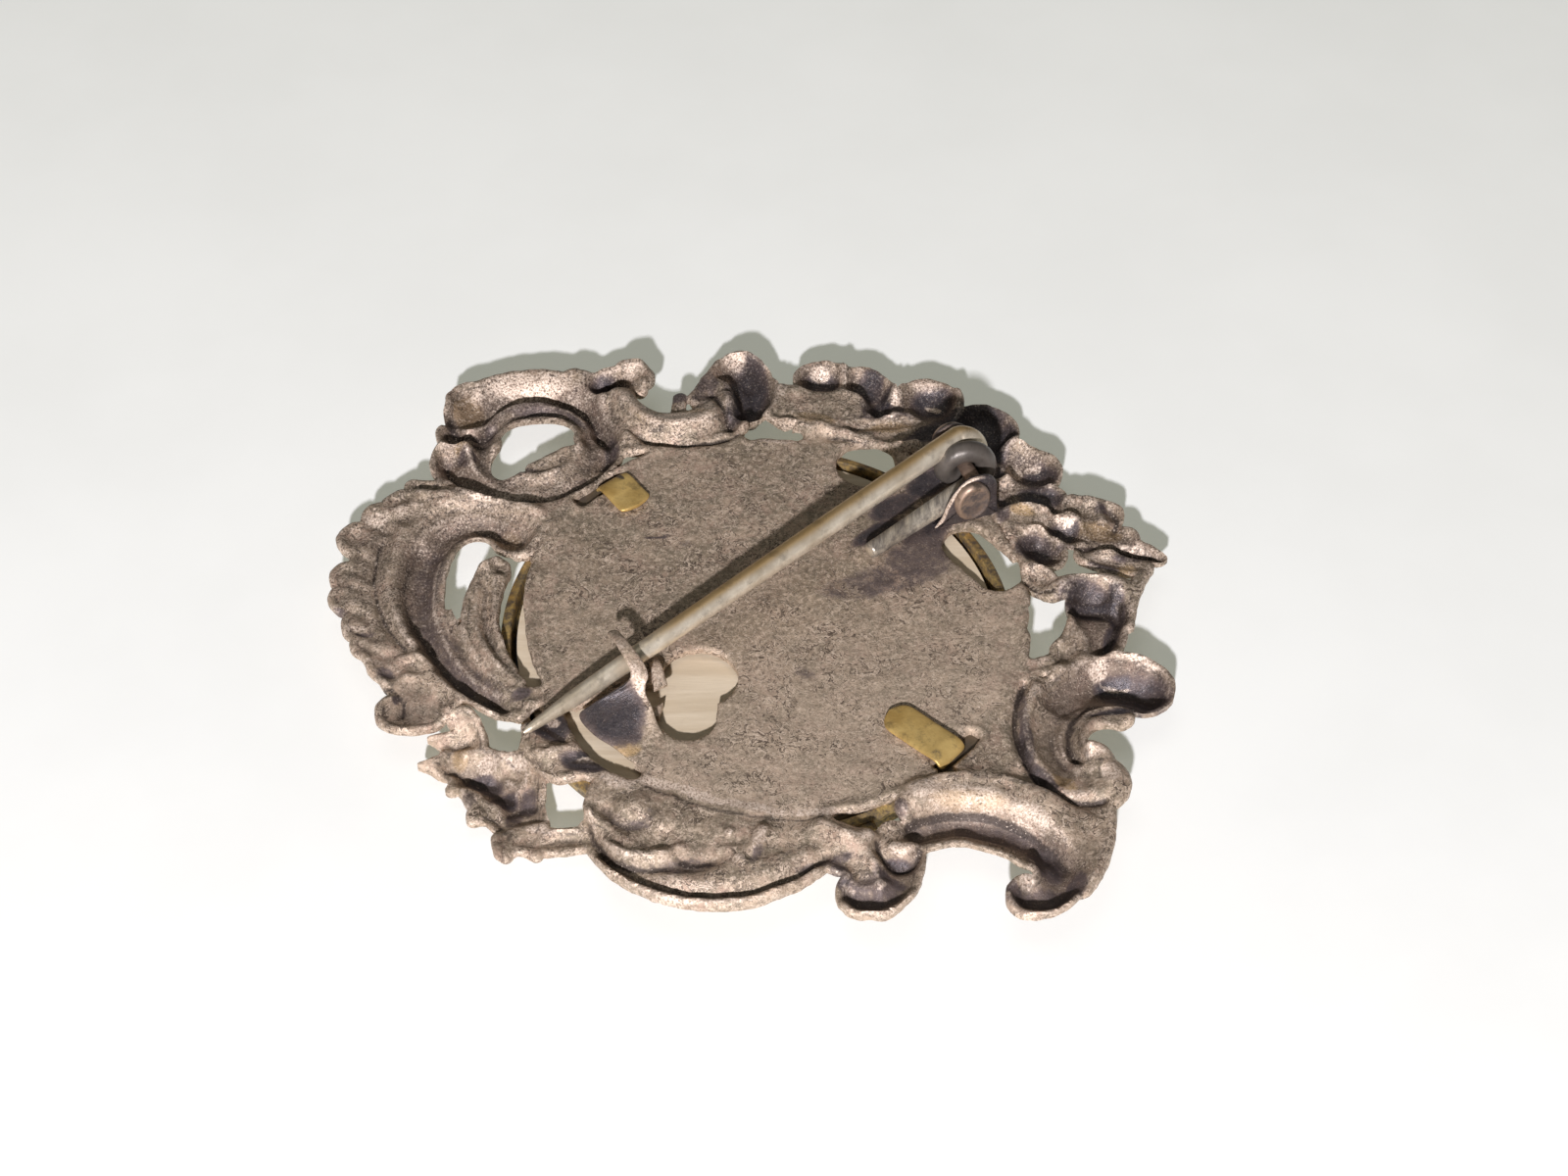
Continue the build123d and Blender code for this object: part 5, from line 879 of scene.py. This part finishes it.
def old_metal():
    """Worn silvering on brass: a warm brown-grey with a fine grain of dark pits and pale flecks, hollows
    darkened brown as painted shade, grooves and creases darkened near black as painted shade, tarnished patches
    with painted shadows among them, and pinkish bright ridges and rims, partly wear from handling and partly
    painted highlights and glints. Each layer covers the ones before it by its share."""
    s = Shader("old_silvered_metal")
    hollow, bend, rim, plate = (s.field(name) for name in ("hollow", "bend", "rim", "plate"))
    groove, ridge, clean, grainy = (s.field(name) for name in ("groove", "ridge", "clean", "grainy"))
    tarnish, worn, gilt = (s.field(name) for name in ("tarnish", "worn", "gilt"))
    wide, middle = s.noise(260, 4), s.noise(1000, 5, 0.7)
    fine, specks = s.noise(3600, 6, 0.75), s.noise(9000, 3, 0.65)

    uneven = s.less(s.plus(middle, fine), 1.0)

    def ragged(value, amount):
        """A field made uneven by the two middle noises."""
        return s.plus(value, s.times(uneven, amount))

    wandering = s.less(s.noise(1500, 3, 0.6, distortion=1.2), 0.5)
    where = s.ramp(s.noise(420, 3), 0.40, 0.60, 0.25, 0.9)
    dark_lines = s.times(s.ramp(s.math("ABSOLUTE", wandering), 0.032, 0.010), where)
    pale_lines = s.times(s.ramp(s.math("ABSOLUTE", s.less(wandering, 0.05)), 0.026, 0.008), where)
    # Tarnished metal, with the painted shadows that the table of dark patches also holds, such as the coil's
    # shadow by the hinge.
    patina_and_shade = s.ramp(ragged(tarnish, 0.8), 0.12, 0.6)
    dark = s.ramp(ragged(tarnish, 0.9), 0.5, 1.0)
    shade = s.mix(dark, s.mix(fine, (0.060, 0.042, 0.044), (0.190, 0.145, 0.130)),
                  s.mix(fine, (0.010, 0.010, 0.015), (0.085, 0.075, 0.085)))
    # Painted highlights, partly wear: ridges, the bright patches, convex bends and the border's rims are lightened
    # towards a pale pinkish shine.
    bright = s.most(s.most(s.times(ridge, 0.7), worn), s.ramp(bend, 0.2, 0.9, 0.0, 0.55))
    bright = s.most(bright, s.times(s.times(rim, 0.5), s.less(1.0, plate)))
    rubbed_and_highlit = s.ramp(ragged(bright, 1.3), 0.32, 0.9)
    shine = s.mix(s.ramp(specks, 0.40, 0.60), (0.540, 0.405, 0.305), (0.950, 0.790, 0.650))
    # Painted shade: grooves, the thin line inside the border's rims and concave bends are darkened near black.
    crease_shade = s.most(s.ramp(ragged(groove, 0.5), 0.34, 0.75), s.ramp(bend, -0.4, -1.0, 0.0, 0.6))
    pits = s.ramp(s.less(specks, s.times(grainy, 0.05)), 0.40, 0.31, 0.0, 0.85)
    flecks = s.ramp(s.plus(specks, s.times(grainy, 0.045)), 0.61, 0.70)
    layers = [
        (s.ramp(s.noise(480, 4, 0.6), 0.42, 0.62, 0.0, 0.7), (0.510, 0.350, 0.265)),
        (s.ramp(middle, 0.38, 0.64, 0.0, 0.9), (0.262, 0.213, 0.148)),
        # The plate is made lighter towards the bottom.
        (s.times(clean, 0.4), (0.660, 0.520, 0.385)),
        (s.ramp(fine, 0.48, 0.62, 0.0, 0.8), (0.700, 0.560, 0.420)),
        (s.ramp(fine, 0.44, 0.30, 0.0, 0.8), (0.125, 0.096, 0.070)),
        (dark_lines, (0.110, 0.080, 0.058)),
        (pale_lines, (0.760, 0.610, 0.470)),
        (s.times(s.ramp(ragged(gilt, 0.6), 0.25, 0.85), 0.7), (0.560, 0.370, 0.170)),
        # Painted shade: the hollows are darkened brown.
        (s.times(s.ramp(ragged(hollow, 0.8), 0.12, 0.95), 0.6), (0.115, 0.078, 0.066)),
        (s.times(patina_and_shade, 0.94), shade),
        (s.times(rubbed_and_highlit, 0.85), shine),
        (s.times(crease_shade, 0.88), (0.040, 0.028, 0.023)),
        (pits, (0.050, 0.036, 0.030)),
        (s.times(flecks, s.less(0.7, s.times(patina_and_shade, 0.45))), (0.850, 0.710, 0.580)),
    ]
    base = s.mix(s.ramp(wide, 0.36, 0.62), (0.310, 0.240, 0.165), (0.540, 0.405, 0.292))
    for share, colour in layers:
        base = s.mix(share, base, colour)
    normal = None
    for grain, depth in ((middle, 0.1), (fine, 0.05), (specks, 0.03)):
        normal = s.bump(grain, depth, 0.7, normal)
    rough = s.less(s.ramp(fine, 0.2, 0.8, 0.48, 0.66), s.times(rubbed_and_highlit, 0.03))
    return s.use(Base_Color=base, Roughness=s.less(rough, s.times(dark, 0.26)), Normal=normal,
                 Metallic=s.ramp(rubbed_and_highlit, 0.0, 1.0, 0.4, 0.5))


def plain_metal(name, low, high, roughness, stretch=None, turn=0.0, amount=0.5, metallic=0.75):
    """A plainer metal: two colours mixed by noise, a dark field of tarnished metal and painted shade, a gilt
    field, grime and a fine grain.
    """
    s = Shader(name)
    wide, fine = s.noise(500, 4, 0.6, stretch, turn), s.noise(2600, 5, 0.7, stretch, turn)
    base = s.mix(s.ramp(wide, 0.3, 0.7), low, high)
    base = s.mix(s.times(s.field("gilt"), 0.85), base, (0.430, 0.265, 0.085))
    base = s.mix(s.times(s.ramp(s.noise(1300, 5, 0.7), 0.5, 0.7), amount), base, (0.06, 0.045, 0.03))
    dark = s.ramp(s.plus(s.field("tarnish"), s.times(s.less(fine, 0.5), 0.9)), 0.25, 0.65)
    base = s.mix(s.times(dark, 0.9), base, s.mix(fine, (0.02, 0.018, 0.02), (0.09, 0.075, 0.07)))
    return s.use(Base_Color=base, Roughness=s.ramp(fine, 0.25, 0.75, roughness - 0.1, roughness + 0.12),
                 Normal=s.bump(fine, 0.04, 0.6), Metallic=s.ramp(dark, 0.0, 1.0, metallic, 0.3))


def card_stock():
    """Cream pasteboard with faint level fibres."""
    s = Shader("cream_card", Metallic=0.0)
    fibres = s.noise(900, 5, 0.7, (0.12, 1.6, 1.0))
    base = s.mix(s.ramp(fibres, 0.35, 0.7), (0.60, 0.49, 0.34), (0.72, 0.61, 0.45))
    base = s.mix(s.times(s.ramp(s.noise(700, 4), 0.6, 0.75), 0.35), base, (0.45, 0.36, 0.26))
    return s.use(Base_Color=base, Roughness=0.85, Normal=s.bump(fibres, 0.04, 0.5))


def black_glass():
    """Polished black glass with the faintest mottling."""
    s = Shader("black_glass", Metallic=0.0, Roughness=0.06)
    base = s.mix(s.ramp(s.noise(300, 3), 0.4, 0.6), (0.008, 0.008, 0.010), (0.014, 0.013, 0.016))
    return s.use(Base_Color=base)


def floor_paint():
    """A plain pale floor with hardly visible unevenness and a very faint glow, so that shadows stay light."""
    s = Shader("pale_floor", Metallic=0.0)
    base = s.mix(s.ramp(s.noise(60, 4), 0.3, 0.7), (0.80, 0.80, 0.79), (0.84, 0.84, 0.83))
    return s.use(Base_Color=base, Roughness=0.7, Emission_Color=(0.205, 0.212, 0.172), Emission_Strength=1.0)


def tongue(edges, count):
    """A strip of the catch between its two edge lines, over the plate."""
    rows = flow(np.reshape(edges, (-1, 2, 3)) + [*PLATE, PLATE_TOP], count)
    return ribbon(rows[:, 0], rows[:, 1], CATCH_SHEET)


def folded(tab):
    """A tab: up through its slot and folded flat over the plate, a little sunk at its end."""
    way, side = spoke(tab.angle)
    line = [(12.76, 1.9), (12.76, 2.25), (12.72, 2.5), (12.5, 2.7), (12.1, 2.76), (11.6, 2.72)]
    line += [(BEZEL_RADIUS - tab.length * share, 2.7 - 0.02 * share) for share in (0.6, 0.8, 0.92, 1.0)]
    middle = flow([[*(centre + way[:2] * radius), height] for radius, height in line], 60)
    side = side * TAB_WIDTH / 2
    return ribbon(middle + side, middle - side, TAB_SHEET, tab.round_off)


def shoulder(tab):
    """The wider root of a tab under its slot."""
    way, side = spoke(tab.slot_angle)
    run = np.linspace(-0.7, 0.7, 12)[:, None] * tab.slot_length * side + [*centre, 2.0]
    return ribbon(run + way * 12.2, run + way * 13.7, 0.2)


metal = old_metal()
brass = plain_metal("aged_brass", (0.480, 0.300, 0.085), (0.780, 0.550, 0.200), 0.4, amount=0.5, metallic=0.5)
wire_metal = plain_metal("wire_metal", (0.56, 0.47, 0.34), (0.88, 0.79, 0.63), 0.36, (1.0, 0.06, 1.0),
                         radians(STEM_ANGLE - 90), amount=0.3, metallic=0.6)
rivet_metal = plain_metal("rivet_metal", (0.230, 0.160, 0.120), (0.480, 0.350, 0.260), 0.55, amount=0.8)

# The stamping with ears and catch, in place of its CAD node.
points, triangles, fields = stamped_sheet()
x, y = (points[:, :2] - PLATE).T
y = y - SIGHT * fields.pop("dip")
# Onto the sheet: dark patches, partly tarnished metal and partly painted shadow; bright patches, partly wear and
# partly painted highlights and glints; and gilt.
for key, table in (("tarnish", TARNISH_AND_SHADOW), ("worn", WEAR_AND_HIGHLIGHTS), ("gilt", GILT)):
    fields[key] = patches(table, x, y)
catch = join(tongue(CATCH, 90), tongue(STUB, 30))
turn = np.linspace(0, pi, 24)
waist, foot = -HINGE_HEIGHT * 0.6, -HINGE_HEIGHT - 0.1
back_ear = [[waist, -1.2], [foot, -EAR_FOOT], [foot, EAR_FOOT], [waist, 1.2]]
back_ear = np.concatenate([EAR_RADIUS * np.stack([np.sin(turn), np.cos(turn)], 1), back_ear])
shapes = {"lower": flow(FRONT_EAR, 60), "upper": back_ear}
ears = [slab(shapes[name], lambda p, level, start=start: hinge_point(start + level, p[:, 1], p[:, 0]),
             end - start, EAR_BEVEL) for name, (start, end) in EARS.items()]
seen_x, seen_y = (catch[0][:, :2] - PLATE).T
seen_y = seen_y + SIGHT * (catch[0][:, 2] - PLATE_TOP)
on_catch = {"tarnish": CATCH_TARNISH, "worn": CATCH_HIGHLIGHTS, "gilt": GILT}
# The front ear is dark, with a painted highlight along the rim of its lit side; the rear ear is darkened as
# painted shade, partly tarnished metal.
lit_side = smooth((0.7 - shapes["lower"][:, 1]) / 1.2)
brink = np.append(np.outer([0.0, 0.0, 0.0, 0.9, 1.0, 0.25], lit_side), [0.0, 0.0])
for key, values in fields.items():
    front = {"tarnish": 1.0 - brink, "worn": 0.95 * brink}.get(key, 0 * brink)
    rear = np.full(len(ears[1][0]), {"tarnish": 0.6, "hollow": 0.5}.get(key, 0.0))
    fields[key] = np.concatenate([values, patches(on_catch.get(key, []), seen_x, seen_y), front, rear])
sheet = make("stamped_sheet", *join((points, triangles), catch, *ears), metal, fields, 55)
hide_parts("stamped_frame")

# The brass setting: ring with lip, two folded tabs with their roots, and the lug.
centre = PLATE + BEZEL
way, side = spoke(LUG_ANGLE)
lug = np.array([*centre, LUG_HEIGHT]) + way * np.linspace(12.7, 13.58, 12)[:, None]
roots = [shape(tab) for tab in TABS.values() for shape in (folded, shoulder)]
points, triangles = join(ring_wall(RING, centre), *roots, ribbon(lug + side, lug - side, TAB_SHEET))
x, y = (points[:, :2] - PLATE).T
# Painted shade on the setting: the ring below the sheet's level is darkened, more beside the tabs' slots, and dark
# lines are painted in the tabs' creases.
darkened = np.maximum(patches(SLOT_SHADE, x, y), 0.5) * (points[:, 2] < 2.4)
darkened = np.maximum(darkened, patches(TAB_CREASE_SHADE, x, y))
setting = make("brass_setting", points, triangles, brass, {"tarnish": darkened}, 50)
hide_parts("bezel")

# The rivet: shank and two domed heads, the front one oval and off its axis.
low, high = EARS["upper"][0] - 0.05, EARS["lower"][1] + 0.05
bend = np.linspace(1.45, 0.12, 12)
dome = np.stack([low - 0.42 * np.sin(bend), HEAD_RADIUS * np.cos(bend) ** 0.8], 1)
shank = [[low, HEAD_RADIUS], [low + 0.02, SHANK_RADIUS], [high, SHANK_RADIUS]]
hub = hinge_point(0, 0, 0)
shank = lathe(np.concatenate([dome, shank]), hub, hinge_point(1, 0, 0) - hub)
turn = circle(64)
rise, share = flow(BUTTON, 28).T[:, :, None]
head = loft(hinge_point(high + rise, BUTTON_MIDDLE[0] + BUTTON_SIZE[0] * share * np.cos(turn),
                        BUTTON_MIDDLE[1] + BUTTON_SIZE[1] * share * np.sin(turn)))
# A painted highlight: the front head's rim is less dark along one side.
lit_rim = np.clip(1 - abs(share - 0.9) / 0.2, 0, 1) * smooth(0.5 - 0.9 * np.cos(turn + 0.5))
darkened = np.concatenate([np.full(len(shank[0]), 0.2), (0.5 - 0.5 * lit_rim).ravel(), [0.5, 0.5]])
rivet = make("rivet", *join(shank, head), rivet_metal, {"tarnish": darkened}, 50)
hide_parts("hinge_rivet")

# The pin: tail, one and a half turns and stem, as one smooth wire.
round_it = np.linspace(0, 2 * pi * COIL_TURNS, 130)
slide = np.linspace(COIL_END + COIL_TURNS * COIL_PITCH, COIL_END, len(round_it))
coil = hinge_point(slide, COIL * np.sin(round_it), -COIL * np.cos(round_it))
way = spoke(STEM_ANGLE)[0]
runs = np.concatenate([np.linspace(0.9, 24, 60), np.linspace(24.4, STEM_LENGTH, 16)])
stem = coil[-1] + runs[:, None] * (way - [0, 0, (HINGE_HEIGHT + COIL - CATCH_HEIGHT) / CATCH_DISTANCE])
tail = np.array([TAIL_LENGTH, 6.86, 6.75, 6.0, 5.0, 4.0, 3.0, 2.0, 1.2])
tail = coil[0] + tail[:, None] * (way - [0, 0, (HINGE_HEIGHT - COIL - TAIL_HEIGHT) / TAIL_LENGTH])
slim = np.interp(runs, [0, 8, CATCH_DISTANCE, 25.5, 27.6, 28.1, STEM_LENGTH],
                 [WIRE, WIRE, 0.5, 0.42, 0.25, 0.17, 0.06])
blunt = [0.34, 0.42, 0.45, *np.linspace(0.45, WIRE, len(tail) - 3)]
radii = np.concatenate([blunt, np.full(len(coil), WIRE), slim])
path = np.concatenate([tail, coil, stem])
points, triangles = tube(path, radii)
rings = points[:-2].reshape(len(path), -1, 3) - path[:, None]
upper = rings @ np.array([-0.5, 0.62, 0.6]) / radii[:, None]
row = np.arange(len(path))[:, None]
stem_start = len(tail) + len(coil)
# The coil is darkened as painted shade, partly tarnished metal; the tail is darker with tarnished metal; the stem
# stays bright.
darkened = 0.85 * smooth((stem_start - 14 - row) / 16.0) * smooth((row - 6) / 14.0)
darkened = np.maximum(darkened, np.where(row < len(tail) + 8, 0.5, 0.1)) + 0 * upper
gilt = smooth((upper + 0.1) / 0.7) * (row > stem_start - 12) * smooth((len(path) - 20 - row) / 12)
fields = {key: np.append(values, [0.0, 0.0]) for key, values in (("tarnish", darkened), ("gilt", gilt))}
pin = make("pin_wire", points, triangles, wire_metal, fields, 60)
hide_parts("pin_stem")

# The stone and the card keep their CAD shapes and get their finishes.
for node, finish in (("backing_card", card_stock()), ("cabochon", black_glass())):
    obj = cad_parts[node]
    obj.data.materials.clear()
    obj.data.materials.append(finish)

for obj in (sheet, setting, rivet):
    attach(obj, "brooch")
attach(pin, "pin")

# Floor, camera and lights.
half = 1.2
floor_mesh = bpy.data.meshes.new("floor")
corners = [(-half, -half, 0), (half, -half, 0), (half, half, 0), (-half, half, 0)]
floor_mesh.from_pydata(corners, [], [(0, 1, 2, 3)])
floor_mesh.materials.append(floor_paint())
floor = bpy.data.objects.new("floor", floor_mesh)
bpy.context.scene.collection.objects.link(floor)

target = Vector((PLATE[0] + 0.5, PLATE[1] + 1.45, PLATE_TOP)) * MM
elevation, distance = radians(49), 130 * MM
camera_data = bpy.data.cameras.new("camera")
camera_data.lens = 57.8
camera_data.sensor_width = 36
camera_data.clip_start = MM
camera = bpy.data.objects.new("camera", camera_data)
camera.location = target + Vector((0, -cos(elevation), sin(elevation))) * distance
camera.rotation_euler = (pi / 2 - elevation, 0, 0)
bpy.context.scene.collection.objects.link(camera)
bpy.context.scene.camera = camera


def lamp(name, place, width, power, colour=(1, 1, 1)):
    """A square area light that faces the brooch."""
    data = bpy.data.lights.new(name, "AREA")
    data.size = width * MM
    data.energy = power
    data.color = colour
    obj = bpy.data.objects.new(name, data)
    obj.location = Vector(place) * MM
    obj.rotation_euler = (Vector((0, 0, 0.003)) - obj.location).to_track_quat("-Z", "Y").to_euler()
    bpy.context.scene.collection.objects.link(obj)


lamp("key", (-28, -260, 166), 12, 1.4, (0.95, 0.925, 0.98))
lamp("top", (-60, 60, 420), 260, 0.13, (1.0, 1.0, 0.96))
world = bpy.data.worlds.new("studio")
world.use_nodes = True
sky = world.node_tree.nodes["Background"].inputs
sky["Color"].default_value = (1.0, 0.99, 0.93, 1)
sky["Strength"].default_value = 0.085
bpy.context.scene.world = world
bpy.context.scene.view_settings.view_transform = "Standard"
